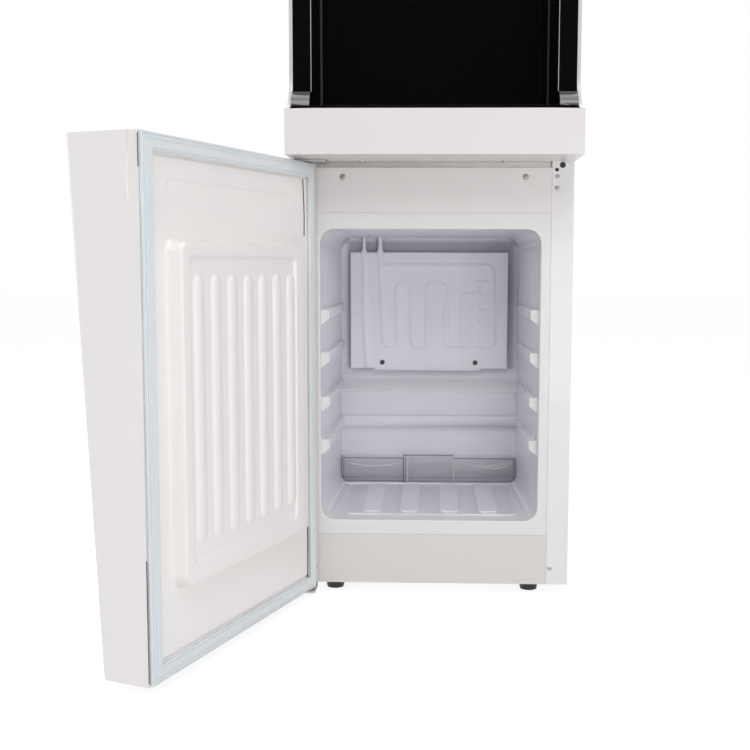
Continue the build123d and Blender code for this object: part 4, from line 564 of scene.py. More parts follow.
class Workshop:
    """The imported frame, the finishes made so far and the ways to make a piece."""

    def __init__(self, frame: dict[str, Any]) -> None:
        """Takes the loaded frame.
        """
        self.frame = frame
        self.made: dict[str, bpy.types.Material] = {}
        bodies = frame["record"]["behaviour"]["bodies"]
        self.body_of = {node: body for body, nodes in bodies.items() for node in nodes}
        self.slot_of = {s["node"]: s["material_slot"] for s in frame["record"]["subparts"]}
        self.scatter = scatter_tree()
        self.row = row_tree()
        self.tube = tube_tree()

    def finish(self, key: str) -> bpy.types.Material:
        """Material by its key in FINISHES, built on first use."""
        if key not in self.made:
            self.made[key] = FINISHES[key].make()
        return self.made[key]

    def carry_over(self, *nodes: str) -> None:
        """Gives solids that stay their own finish."""
        for node in nodes:
            materials = self.frame["nodes"][node].data.materials
            materials.clear()
            materials.append(self.finish(NODE_FINISH[node]))

    def add(self, name: str, mesh: bpy.types.Mesh, node: str, finish: str,
            smooth: float = 35.0) -> bpy.types.Object:
        """Puts a finished mesh into the scene as a piece.

        Args:
            name: The piece's name.
            mesh: Its mesh, in metres.
            node: The solid that it replaces.
            finish: Key of its finish.
            smooth: Edges sharper than this many degrees stay sharp.

        Returns:
            The piece.
        """
        for polygon in mesh.polygons:
            polygon.use_smooth = True
        mesh.set_sharp_from_angle(angle=math.radians(smooth))
        mesh.materials.clear()
        mesh.materials.append(self.finish(finish))
        piece = linked(name, mesh)
        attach(piece, self.body_of[node])
        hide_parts(node)
        LOG.info("%s: %d faces", name, len(mesh.polygons))
        return piece

    def screws(self, name: str, node: str, finish: str, heads: Sequence[tuple[Triple, Triple]],
               shape: Triple, seed: int) -> None:
        """Sets crossed screw heads at given places.

        Args:
            name: The new piece's name.
            node: The solid that they stand for.
            finish: Key of their finish.
            heads: Place in millimetres and direction of each head.
            shape: Radius, height and depth of the cross, in millimetres.
            seed: Chooses how far each one is turned.
        """
        points = fresh_mesh(name + "_places", [place for place, _ in heads], [], [])
        aim = points.attributes.new("aim", "FLOAT_VECTOR", "POINT")
        for slot, (_, direction) in zip(aim.data, heads):
            slot.vector = direction
        part = linked(name + "_part", screw_head(*shape))
        mesh = self.scatter.grow(name, points, Part=part, Seed=seed, Material=self.finish(finish))
        bpy.data.objects.remove(part)
        self.add(name, mesh, node, finish, 40.0)

    def tubes(self, name: str, node: str, finish: str, points: Sequence[Triple], radius: float, bend: float,
              sides: int = 20) -> None:
        """Runs one round tube through given points, with all sizes in millimetres.

        Args:
            name: The new piece's name.
            node: The solid that it stands for.
            finish: Key of its finish.
            points: Corners of its middle line.
            radius: Radius of the tube.
            bend: Radius of its middle line at the corners.
            sides: Faces round it.
        """
        line = fresh_mesh(name + "_line", points, [(i, i + 1) for i in range(len(points) - 1)], [])
        mesh = self.tube.grow(name, line, Steps=8, Bend=bend * MM, Sides=sides, Radius=radius * MM,
                              Material=self.finish(finish))
        self.add(name, mesh, node, finish, 60.0)

    def soften(self, widths: dict[str, float], steps: int = 2) -> None:
        """Replaces solids by copies whose long sharp edges are rounded.

        Args:
            widths: Each solid's rounding in millimetres.
            steps: Faces across each rounding.
        """
        for node, width in widths.items():
            mesh = bpy.data.meshes.new(node + "_soft")
            with editing(mesh, self.frame["nodes"][node].data) as shape:
                bmesh.ops.remove_doubles(shape, verts=shape.verts, dist=MERGE)
                bmesh.ops.dissolve_limit(shape, angle_limit=FLAT, verts=shape.verts, edges=shape.edges)
                sharp = [e for e in shape.edges if len(e.link_faces) == 2
                         and e.calc_length() > LONG_EDGE * width * MM and e.calc_face_angle(0.0) > SHARP]
                bmesh.ops.bevel(shape, geom=sharp, offset=width * MM, segments=steps, profile=0.5,
                                affect="EDGES", clamp_overlap=True, harden_normals=False)
                bmesh.ops.triangulate(shape, faces=[f for f in shape.faces if len(f.verts) > 4])
            piece = self.add(node + "_soft", mesh, node, NODE_FINISH[node])
            piece.modifiers.new("even", "WEIGHTED_NORMAL").keep_sharp = True
            piece.data = evaluated(piece)


def placed(points: np.ndarray, turn: Turn) -> np.ndarray:
    """Points in metres where the piece stands.

    Args:
        points: Points in millimetres, for the closed door if they are the door's.
        turn: Whose points they are.

    Returns:
        The points, swung with the door if they are the door's.
    """
    out = points * MM
    if turn is Turn.DOOR:
        angle = math.radians(turn.value)
        x, y = out[:, 0] - HINGE[0] * MM, out[:, 1] - HINGE[1] * MM
        out[:, 0] = HINGE[0] * MM + x * math.cos(angle) - y * math.sin(angle)
        out[:, 1] = HINGE[1] * MM + x * math.sin(angle) + y * math.cos(angle)
    return out


def box_field(x: np.ndarray, z: np.ndarray, limits_x: Pair, limits_z: Pair, corner: float) -> np.ndarray:
    """Signed distance to a rounded rectangle.

    Args:
        x: Places across.
        z: Places upwards.
        limits_x: Its left and right ends.
        limits_z: Its lower and upper ends.
        corner: Radius of its corners.

    Returns:
        The distance at every place, negative inside.
    """
    cx, cz = sum(limits_x) / 2, sum(limits_z) / 2
    dx = np.abs(x - cx) - (limits_x[1] - limits_x[0]) / 2 + corner
    dz = np.abs(z - cz) - (limits_z[1] - limits_z[0]) / 2 + corner
    outside = np.hypot(np.maximum(dx, 0), np.maximum(dz, 0))
    return outside + np.minimum(np.maximum(dx, dz), 0) - corner


def line_field(x: np.ndarray, z: np.ndarray, line: np.ndarray) -> np.ndarray:
    """Distance from every grid point to a polyline.

    Args:
        x: Places across.
        z: Places upwards.
        line: Points of the polyline.

    Returns:
        The distance at every place.
    """
    best = np.full(x.shape, 1e9)
    for a, b in zip(line, line[1:]):
        span = b - a
        length = max(float(span @ span), 1e-9)
        t = np.clip(((x - a[0]) * span[0] + (z - a[1]) * span[1]) / length, 0, 1)
        best = np.minimum(best, np.hypot(x - a[0] - t * span[0], z - a[1] - t * span[1]))
    return best


def ease(value: np.ndarray) -> np.ndarray:
    """Smooth step from nought to one."""
    v = np.clip(value, 0.0, 1.0)
    return v * v * v * (v * (6 * v - 15) + 10)


def stations(limits: Pair, coarse: float, fine: float, near: Sequence[float], reach: float) -> np.ndarray:
    """Places along a line, close together near the given values.

    Args:
        limits: Ends of the line.
        coarse: Spacing far from the values.
        fine: Spacing near them.
        near: The values.
        reach: How near is near.

    Returns:
        The places in order.
    """
    out = [limits[0]]
    while out[-1] < limits[1]:
        close = min(abs(out[-1] + fine - n) for n in near)
        out.append(out[-1] + (fine if close < reach else coarse))
    out[-1] = limits[1]
    return np.array(out)


def rounded_path(points: Line, radius: float, steps: int = 6) -> np.ndarray:
    """Polyline whose corners are replaced by short arcs.

    Args:
        points: Corners of the line.
        radius: Size of each rounding.
        steps: Points along each rounding.

    Returns:
        The points of the rounded line.
    """
    corners = [np.array(p, float) for p in points]
    out = [corners[0]]
    for before, here, after in zip(corners, corners[1:], corners[2:]):
        a, b = before - here, after - here
        cut = min(radius, np.linalg.norm(a) / 2, np.linalg.norm(b) / 2)
        a, b = here + a / np.linalg.norm(a) * cut, here + b / np.linalg.norm(b) * cut
        out += [(1 - t) ** 2 * a + 2 * t * (1 - t) * here + t * t * b for t in np.linspace(0, 1, steps)]
    return np.array([*out, corners[-1]])


def relief(name: str, xs: np.ndarray, zs: np.ndarray, face: np.ndarray, rear: np.ndarray,
           turn: Turn) -> bpy.types.Mesh:
    """Closed plate between two height fields over one grid.

    Args:
        name: The mesh's name.
        xs: Grid lines across.
        zs: Grid lines upwards.
        face: Depth of the shown side at each grid point.
        rear: Depth of the hidden side.
        turn: Whose numbers they are.

    Returns:
        The mesh, in metres.
    """
    gx, gz = np.meshgrid(xs, zs, indexing="ij")
    size = gx.size
    points = placed(np.concatenate([np.stack([gx, y, gz], -1).reshape(-1, 3) for y in (face, rear)]), turn)
    index = np.arange(size).reshape(gx.shape)
    quads = np.stack([index[:-1, :-1], index[:-1, 1:], index[1:, 1:], index[1:, :-1]], -1).reshape(-1, 4)
    rim = np.concatenate([index[0, :], index[1:, -1], index[-1, :-1][::-1], index[1:-1, 0][::-1]])
    after = np.roll(rim, -1)
    walls = np.stack([rim + size, after + size, after, rim], -1)
    mesh = bpy.data.meshes.new(name)
    mesh.from_pydata(points.tolist(), [], np.concatenate([quads, quads[:, ::-1] + size, walls]).tolist())
    return turned_out(mesh)


class Growth:
    """A geometry node tree with named inputs, whose result is taken as a plain mesh."""

    def __init__(self, name: str) -> None:
        """Makes an empty tree.

        Args:
            name: The tree's name.
        """
        self.tree = bpy.data.node_groups.new(name, "GeometryNodeTree")
        for way in ("INPUT", "OUTPUT"):
            self.tree.interface.new_socket("Geometry", in_out=way, socket_type="NodeSocketGeometry")
        self.ids: dict[str, str] = {}
        self.start = self.tree.nodes.new("NodeGroupInput")

    def size(self, name: str, kind: str) -> Any:
        """Adds a named input.

        Args:
            name: The input's name.
            kind: End of its socket type, such as Float or Object.

        Returns:
            The socket inside the tree.
        """
        made = self.tree.interface.new_socket(name, in_out="INPUT", socket_type="NodeSocket" + kind)
        self.ids[name] = made.identifier
        return self.start.outputs[name]

    def add(self, kind: str, settings: dict[str, Any], inputs: dict[Any, Any], out: Any = 0) -> Any:
        """Adds one node and gives the wanted output."""
        return add_node(self.tree, kind, settings, inputs).outputs[out]

    def finish(self, grown: Any) -> "Growth":
        """Ends the tree with plain geometry in one material.

        Args:
            grown: The geometry to end with.

        Returns:
            The tree itself.
        """
        real = self.add("GeometryNodeRealizeInstances", {}, {0: grown})
        painted = self.add("GeometryNodeSetMaterial", {}, {0: real, "Material": self.size("Material", "Material")})
        add_node(self.tree, "NodeGroupOutput", {}, {0: painted})
        return self

    def grow(self, name: str, seed: bpy.types.Mesh, **values: Any) -> bpy.types.Mesh:
        """Runs the tree over a seed mesh.

        Args:
            name: Name of the new mesh.
            seed: Points or a line that the tree works on.
            **values: The tree's inputs by name.

        Returns:
            The grown mesh, with outward faces.
        """
        source = linked(name + "_seed", seed)
        live = source.modifiers.new(name, "NODES")
        live.node_group = self.tree
        for key, value in values.items():
            live[self.ids[key]] = value
        mesh = evaluated(source)
        mesh.name = name
        bpy.data.objects.remove(source)
        return turned_out(mesh)


def scatter_tree() -> Growth:
    """Tree that sets a part on each point, looking along the point's aim, with a chance turn.

    Returns:
        The tree, with inputs Seed and Part.
    """
    made = Growth("scatter")
    aim = made.add("GeometryNodeInputNamedAttribute", {"data_type": "FLOAT_VECTOR"}, {"Name": "aim"})
    facing = made.add("FunctionNodeAlignRotationToVector", {"axis": "Z"}, {"Vector": aim})
    spin = made.add("FunctionNodeRandomValue", {"data_type": "FLOAT"},
                    {2: 0.0, 3: math.tau, "Seed": made.size("Seed", "Int")}, 1)
    turn = made.add("FunctionNodeAxisAngleToRotation", {}, {"Axis": (0.0, 0.0, 1.0), "Angle": spin})
    facing = made.add("FunctionNodeRotateRotation", {"rotation_space": "LOCAL"},
                      {"Rotation": facing, "Rotate By": turn})
    part = made.add("GeometryNodeObjectInfo", {}, {"Object": made.size("Part", "Object")}, "Geometry")
    return made.finish(made.add("GeometryNodeInstanceOnPoints", {}, {
        "Points": made.start.outputs["Geometry"], "Instance": part, "Rotation": facing}))


def row_tree() -> Growth:
    """Tree that repeats the seed mesh in a straight row.

    Returns:
        The tree, with inputs Count, Start and Step.
    """
    made = Growth("row")
    line = made.add("GeometryNodeMeshLine", {"mode": "OFFSET", "count_mode": "TOTAL"},
                    {"Count": made.size("Count", "Int"), "Start Location": made.size("Start", "Vector"),
                     "Offset": made.size("Step", "Vector")})
    return made.finish(made.add("GeometryNodeInstanceOnPoints", {}, {
        "Points": line, "Instance": made.start.outputs["Geometry"]}))


def tube_tree() -> Growth:
    """Tree that runs a round tube along the seed line, with rounded bends and closed ends.

    Returns:
        The tree, with inputs Steps, Bend, Sides and Radius.
    """
    made = Growth("tube")
    line = made.add("GeometryNodeMeshToCurve", {}, {0: made.start.outputs["Geometry"]})
    bent = made.add("GeometryNodeFilletCurve", {"mode": "POLY"},
                    {"Curve": line, "Count": made.size("Steps", "Int"), "Radius": made.size("Bend", "Float"),
                     "Limit Radius": True})
    across = made.add("GeometryNodeCurvePrimitiveCircle", {"mode": "RADIUS"},
                      {"Resolution": made.size("Sides", "Int"), "Radius": made.size("Radius", "Float")})
    return made.finish(made.add("GeometryNodeCurveToMesh", {}, {
        "Curve": bent, "Profile Curve": across, "Fill Caps": True}))


def screw_head(radius: float, height: float, recess: float) -> bpy.types.Mesh:
    """Round screw head with a crossed recess, seated at the origin and looking along +Z.

    Args:
        radius: Radius of the head.
        height: Height over its seat.
        recess: Depth of the cross.

    Returns:
        The head's mesh.
    """
    dome = ((1.0, 0.0), (1.0, 0.35), (0.93, 0.7), (0.78, 0.94), (0.62, 1.0))
    lines = [ring(radius * share, height * rise, 24) for share, rise in dome]
    arm, half, taper = radius * 0.5, radius * 0.13, 0.8
    corner = [(arm, -half), (arm, half), (half, half)]
    cross = [(x * c - y * s, x * s + y * c) for s, c in ((0, 1), (1, 0), (0, -1), (-1, 0)) for x, y in corner]
    lines += [[(x, y, height) for x, y in cross], [(x * taper, y * taper, height - recess) for x, y in cross]]
    mesh = bpy.data.meshes.new("screw_head")
    with editing(mesh) as shape:
        rows = [[shape.verts.new([c * MM for c in p]) for p in line] for line in lines]
        for low, high in (*zip(rows[:4], rows[1:5]), rows[5:]):
            for i, (a, b) in enumerate(zip(low, high)):
                shape.faces.new((low[i - 1], a, b, high[i - 1]))
        shape.faces.new(rows[0][::-1])
        shape.faces.new(rows[6])
        loop = [shape.edges.get((row[i - 1], row[i])) for row in rows[4:6] for i in range(len(row))]
        bmesh.ops.triangle_fill(shape, edges=loop, use_beauty=True, normal=(0.0, 0.0, 1.0))
        bmesh.ops.recalc_face_normals(shape, faces=shape.faces)
    return mesh


@dataclass
class Door:
    """Fridge door: rounded shell, moulded inner sheet with flutes, and its soft seal."""

    shop: Workshop
    rim: float = FRONT - 4.9
    sheet: float = 1.6
    half: float = 152.6
    tall: Pair = (11.9, 484.1)
    foot_x: Pair = (-111.0, 119.9)
    foot_z: Pair = (84.2, 398.0)
    rise: float = 14.9
    foot_corner: float = 16.0
    slope: float = 6.0
    top_slope: float = 3.0
    field_x: Pair = (-89.8, 104.3)
    field_z: Pair = (104.6, 384.2)
    field_corner: float = 8.0
    field_slope: float = 4.0
    dip: float = 2.6
    first_flute: float = -79.6
    flute_pitch: float = 27.9
    flute_count: int = 7
    flute_z: Pair = (122.1, 365.8)
    flute_half: float = 7.6
    flute_reach: Pair = (-9.6, 9.7)
    flute_step: float = 1.2
    recess_x: Pair = (-106.4, 115.9)
    recess_z: Pair = (434.5, 450.0)
    recess_corner: float = 7.0
    recess_slope: float = 2.4
    recess: float = 0.9
    seal_outer: float = 154.1
    seal_z: Pair = (10.4, 485.6)
    seal_reach: float = 14.0
    slot: float = 16.6
    slot_half: float = 1.0
    slot_depth: float = 2.0
    slot_slope: float = 0.9
    slot_reach: Pair = (-3.6, 3.7)
    slot_step: float = 0.45
    coarse_x: float = 3.0
    coarse_z: float = 4.0
    fine: float = 1.1
    near: float = 9.0
    least_step: float = 0.35
    # painted shadow: black cords along the gaps between the inner sheet, the seal and the shell
    gap_shadow_lines: tuple[tuple[float, tuple[Triple, ...]], ...] = (
        (0.8, ((-131.0, -135.0, 467.8), (-132.9, -135.0, 445.5), (-133.7, -135.0, 429.0), (-133.4, -135.0, 407.0))),
        (0.8, ((-137.2, -135.0, 83.0), (-137.1, -135.0, 56.6), (-136.5, -135.0, 24.0))),
        (0.35, ((154.4, -134.6, 456.0), (154.4, -134.6, 484.0))),
        (0.35, ((154.4, -134.6, 13.0), (154.4, -134.6, 122.0))))

    def build(self) -> None:
        """Makes all of the door's pieces."""
        self.shop.soften({"door_shell": 0.8})
        self.shop.carry_over("door_bushes", "door_foam")
        self.inner_sheet()
        self.seal()
        # painted shadow: black cords laid in the door's gaps
        for i, (radius, line) in enumerate(self.gap_shadow_lines):
            points = [tuple(p) for p in placed(np.array(line), Turn.DOOR) / MM]
            self.shop.tubes(f"door_joint_{i}", "door_liner", "black_matte", points, radius, 4.0, 8)

    def grid(self, limits: Pair, coarse: float, edges: Sequence[float], slots: Pair,
             extra: Sequence[np.ndarray] = ()) -> np.ndarray:
        """Grid places along one axis, closer together at the edges and closest in the seal's slots.

        Args:
            limits: Ends of the sheet.
            coarse: Spacing away from the edges.
            edges: Where the relief changes.
            slots: Middles of the two slots.
            extra: More places.

        Returns:
            The places in order.
        """
        before, after = self.slot_reach
        grooves = [np.arange(middle + before, middle + after, self.slot_step) for middle in slots]
        places = stations(limits, coarse, self.fine, edges, self.near)
        places = np.unique(np.concatenate([places, *grooves, *extra]))
        places = places[np.concatenate([[True], np.diff(places) > self.least_step])]
        places[-1] = limits[1]
        return places

    def inner_sheet(self) -> None:
        """Inner sheet as one smooth relief."""
        flutes = [self.first_flute + i * self.flute_pitch for i in range(self.flute_count)]
        across = self.seal_outer - self.slot
        before, after = self.flute_reach
        xs = self.grid((-self.half, self.half), self.coarse_x, [*self.foot_x, *self.field_x, *self.recess_x],
                       (-across, across), [np.arange(f + before, f + after, self.flute_step) for f in flutes])
        zs = self.grid(self.tall, self.coarse_z, [*self.foot_z, *self.field_z, *self.flute_z, *self.recess_z],
                       (self.seal_z[0] + self.slot, self.seal_z[1] - self.slot))
        x, z = np.meshgrid(xs, zs, indexing="ij")
        spare = self.slope - self.top_slope
        stretched = z + spare * np.clip((z - self.foot_z[1]) / self.top_slope + 1.0, 0.0, 1.0)
        foot_z = (self.foot_z[0], self.foot_z[1] + spare)
        plateau = ease(-box_field(x, stretched, self.foot_x, foot_z, self.foot_corner) / self.slope)
        field = ease(-box_field(x, z, self.field_x, self.field_z, self.field_corner) / self.field_slope)
        flute = np.zeros_like(x)
        for f in flutes:
            away = box_field(x, z, (f - self.flute_half, f + self.flute_half), self.flute_z, self.flute_half)
            bulge = np.clip(-away / self.flute_half, 0, 1)
            flute = np.maximum(flute, np.sqrt(np.clip(1 - (1 - bulge) ** 2, 0, 1)))
        hollow = ease(-box_field(x, z, self.recess_x, self.recess_z, self.recess_corner) / self.recess_slope)
        inward = -box_field(x, z, (-self.seal_outer, self.seal_outer), self.seal_z, 0.01)
        groove = ease((self.slot_half + 0.25 - np.abs(inward - self.slot)) / self.slot_slope)
        face = self.rim + self.rise * plateau - self.dip * field + self.dip * 0.98 * flute * field
        face = face - self.recess * hollow - self.slot_depth * groove
        rear = self.rim - self.sheet + np.clip(face - self.rim - self.sheet - 1.0, 0, None) * 0.9
        rear = np.minimum(rear, face - self.sheet * 0.8)
        mesh = relief("door_inner_sheet", xs, zs, face, rear, Turn.DOOR)
        self.shop.add("door_inner_sheet", mesh, "door_liner", "door_liner", 60.0)

    def seal(self) -> None:
        """Soft seal: one bellows profile round the rim, with mitred corners."""
        top = FRONT - 0.35
        foot = self.rim + 0.1
        profile = [(1.6, foot), (0.8, foot + 0.8), (0.3, foot + 2.0), (0.0, top - 1.4), (0.15, top - 0.5),
                   (0.6, top), (1.2, top), (1.4, top - 0.8), (1.8, top - 1.1), (2.2, top - 0.8), (2.5, top),
                   (4.5, top), (4.8, top - 0.8), (5.5, top - 1.1), (6.2, top - 0.8), (6.5, top),
                   (12.3, top), (12.6, top - 0.8), (13.2, top - 1.1), (13.8, top - 0.8), (14.1, top - 0.2),
                   (15.0, top - 0.5), (15.4, top - 1.2), (15.2, foot + 1.6), (14.8, foot + 0.6),
                   (14.0, foot)]
        middle, tall = sum(self.seal_z) / 2, (self.seal_z[1] - self.seal_z[0]) / 2
        rows = np.array([(sx * (self.seal_outer - u), y, middle + sz * (tall - u))
                         for u, y in profile for sx, sz in ((-1, -1), (1, -1), (1, 1), (-1, 1))])
        reach = np.hypot(rows[:, 0] - HINGE[0], rows[:, 1] - HINGE[1])
        for k in np.nonzero((rows[:, 0] < HINGE[0]) & (reach > self.seal_reach))[0]:
            rows[k, :2] = HINGE + (rows[k, :2] - HINGE) * self.seal_reach / reach[k]
        mesh = bpy.data.meshes.new("door_seal")
        mesh.from_pydata(placed(rows, Turn.DOOR).tolist(), [], sleeve(len(profile), 4, closed=True))
        self.shop.add("door_seal", turned_out(mesh), "door_gasket", "seal", 30.0)


@dataclass
class Fridge:
    """Fridge compartment: lining, cooling plate with its tubes, shelf and condensate tray."""

    shop: Workshop
    plate_x: Pair = (-108.5, 97.4)
    plate_z: Pair = (239.9, 392.1)
    plate_y: float = FRONT + 198.0
    plate_thick: float = 1.5
    ceiling: float = 449.8
    swell: float = 1.7
    channel: float = 3.9
    channel_bend: float = 9.0
    plate_rim: float = 1.6
    plate_grid: tuple[int, int] = (172, 127)
    loops: tuple[Line, ...] = (
        ((-90.4, 392.0), (-89.8, 300.0), (-86.0, 240.5)),
        ((-69.4, 392.0), (-69.4, 374.2), (76.5, 374.2), (79.5, 271.0), (19.5, 271.0)),
        ((-69.4, 374.2), (-64.0, 270.0), (-45.5, 270.0), (-46.5, 351.5), (-27.8, 351.5),
         (-27.0, 270.0), (-6.5, 270.0), (-7.0, 351.5), (15.0, 351.5), (18.5, 271.0)))
    cell_block: tuple[Pair, Pair] = ((35.0, 77.0), (268.0, 356.0))
    cell_step: tuple[Pair, Pair] = ((28.0, 57.0), (338.0, 372.0))
    cell_half: Pair = (7.6, 7.0)
    cell_corner: float = 5.0
    cell_slope: float = 2.4
    cell_rise: float = 0.7
    cell_middles: tuple[tuple[float, tuple[float, ...]], ...] = (
        (44.0, (322.5, 301.5, 280.0)), (66.8, (343.5, 323.0, 302.0, 280.5)))
    tongue_x: Pair = (-78.0, 62.0)
    tongue: float = 2.4
    pegs: Pair = (-40.0, 56.7)
    peg_y: Pair = (1.5, 11.2)
    peg_down: float = 8.0
    peg_r: float = 4.0
    feeds: tuple[Pair, ...] = ((-90.6, 1.9), (-69.6, 2.6))
    tray_x: Pair = (-121.0, 110.4)
    tray_y: float = 57.9
    tray_z: Pair = (89.5, 122.5)
    tab_x: Pair = (-39.2, 28.6)
    tab_rise: float = 4.4
    corner: float = 9.1
    bead_in: float = 0.9
    pad_x: Pair = (-102.6, 97.1)
    pad_y: Pair = (-105.6, 55.6)
    pad_z: float = 86.4

    def build(self) -> None:
        """Makes all of the compartment's pieces."""
        self.shop.soften({"cabinet_liner": 1.2}, 3)
        self.shop.carry_over("cabinet_foam")
        self.plate()
        for i, (x, radius) in enumerate(self.feeds):
            self.feed(f"plate_tube_{i}", x, radius)
        self.shop.soften({"shelf": 0.5, "catch_tray": 0.5})
        self.tray_beads()
        self.pad_highlight()

    def cells(self, x: np.ndarray, z: np.ndarray) -> np.ndarray:
        """Height of the honeycomb of small rounded pockets beside the loops.

        Args:
            x: Places across.
            z: Places upwards.

        Returns:
            The height at every place, between nought and one.
        """
        block = ease(-box_field(x, z, *self.cell_block, 8.0) / 2.0)
        step = ease(-box_field(x, z, *self.cell_step, 6.0) / 2.0)
        pits = np.zeros_like(x)
        wide, tall = self.cell_half
        for cx, rows in self.cell_middles:
            for cz in rows:
                away = box_field(x, z, (cx - wide, cx + wide), (cz - tall, cz + tall), self.cell_corner)
                pits = np.maximum(pits, ease(-away / self.cell_slope))
        return np.clip(block - step, 0, 1) * (1 - pits)

    def plate(self) -> None:
        """Cooling plate: two welded sheets with blown-up channels, a tongue below and two pegs behind."""
        xs, zs = (np.linspace(*ends, n) for ends, n in zip((self.plate_x, self.plate_z), self.plate_grid))
        x, z = np.meshgrid(xs, zs, indexing="ij")
        near = np.minimum.reduce([line_field(x, z, rounded_path(line, self.channel_bend)) for line in self.loops])
        ridge = np.clip(1 - (near / self.channel) ** 2, 0, 1)
        height = self.swell * np.maximum(ridge ** 0.8, self.cell_rise * self.cells(x, z))
        rim = ease(np.minimum.reduce([x - xs[0], xs[-1] - x, z - zs[0], zs[-1] - z]) / self.plate_rim)
        face = self.plate_y + 0.5 * (1 - rim) - height * rim
        rear = np.full_like(face, self.plate_y + self.plate_thick)
        mesh = relief("cooling_plate", xs, zs, face, rear, Turn.CABINET)
        self.shop.add("cooling_plate", mesh, "evaporator_plate", "plate", 60.0)
        xs, zs = np.linspace(*self.tongue_x, 9), np.linspace(self.plate_z[0] - self.tongue, self.plate_z[0], 3)
        face = np.full((9, 3), self.plate_y + 0.3)
        tongue = relief("plate_tongue", xs, zs, face, face + 1.1, Turn.CABINET)
        self.shop.add("plate_tongue", tongue, "evaporator_plate", "plate")
        for i, cx in enumerate(self.pegs):
            peg = [(cx, self.plate_y + depth, self.plate_z[1] - self.peg_down) for depth in self.peg_y]
            self.shop.tubes(f"plate_peg_{i}", "evaporator_plate", "plate", peg, self.peg_r, 1.0)

    def feed(self, name: str, x: float, radius: float) -> None:
        """One tube from the plate's top edge up through the ceiling, flared where it joins the plate.

        Args:
            name: The piece's name.
            x: Its place across.
            radius: Its radius above the flare.
        """
        flare = ((2.4, 388.5), (2.3, 391.4), (1.5, 393.6), (0.5, 396.4), (0.0, 399.5), (0.0, self.ceiling))
        count = 20
        points = [p for k, (wider, z) in enumerate(flare)
                  for p in ring(radius + wider, z, count, (x, self.plate_y + 0.1), 0.45 + 0.55 * min(1.0, k / 4))]
        mesh = turned_out(fresh_mesh(name, points, [], sleeve(len(flare), count)))
        self.shop.add(name, mesh, "evaporator_plate", "plate", 60.0)

    def tray_beads(self) -> None:
        """Moulded arcs on both sides of the tray's tab, and beads round its outline and the tab: the arcs and three
        lines on the tab are painted highlights in a light finish, the other lines painted shade in a dark finish.
        """
        arcs = {"left_arc": [(-112.0, 115.4), (-100.0, 112.6), (-80.0, 110.8), (-62.0, 111.4), (-50.0, 113.6)],
                "right_arc": [(38.0, 115.6), (52.0, 112.2), (72.0, 111.0), (92.0, 113.6), (102.0, 117.0)],
                "right_arc_low": [(66.0, 109.0), (80.0, 108.0), (94.0, 110.6), (104.0, 115.4)]}
        # painted highlight: the arcs are drawn in the light finish
        for name, line in arcs.items():
            points = [(x, self.tray_y, z) for x, z in line]
            self.shop.tubes("tray_" + name, "catch_tray", "bead", points, 0.9, 14.0, 10)
        left, right = self.tray_x[0] + self.bead_in, self.tray_x[1] - self.bead_in
        low, high = self.tray_z[0] + 1.4, self.tray_z[1] - self.bead_in
        start, end = self.tab_x[0] + self.bead_in, self.tab_x[1] - self.bead_in
        peak, step = high + self.tab_rise, low + 5.0
        # painted shade: dark lines along the tray's outline, inner walls and tab
        dark_edge_lines = {"outline": [(left, high), (left, low), (right, low), (right, high)],
                "left_inner": [(left + 2.8, high), (left + 2.8, step)], "tab_left": [(start, peak), (start, low)],
                "right_inner": [(right - 2.8, high), (right - 2.8, step)],
                "top_left": [(left, high), (start, high)], "top_right": [(end, high), (right, high)],
                "foot_inner": [(left + 1.4, step), (right - 1.4, step)],
                "tab_inner": [(start + 2.6, peak), (start + 2.6, low)], "tab_top": [(start, peak), (end, peak)]}
        # painted highlights: light lines on the tab's edges
        tab_highlights = {"tab_right": [(end, peak), (end, low)], "tab_low": [(start, peak - 2.4), (end, peak - 2.4)],
                "tab_bright": [(start + 5.4, high), (start + 5.4, low)]}
        for finish, lines in (("edge", dark_edge_lines), ("bead", tab_highlights)):
            for name, line in lines.items():
                y = self.tray_y + (-1.6 if name.startswith("tab") else 0.7)
                radius = 0.4 if name.endswith("inner") else 0.65
                bend = self.corner if name == "outline" else 1.0
                points = [(x, y, z) for x, z in line]
                self.shop.tubes("tray_" + name, "catch_tray", finish, points, radius, bend, 8)

    def pad_highlight(self) -> None:
        """Rounded step round the floor's raised pad, in a lighter white than the lining as a painted highlight along
        its rim.
        """
        (left, right), (near, far) = self.pad_x, self.pad_y
        line = [(0.0, near), (right, near), (right, far), (left, far), (left, near), (0.0, near)]
        points = [(x, y, self.pad_z) for x, y in line]
        # painted highlight: the bead is a lighter white than the lining
        self.shop.tubes("floor_pad_line", "cabinet_liner", "door_white", points, 0.9, 9.0, 10)


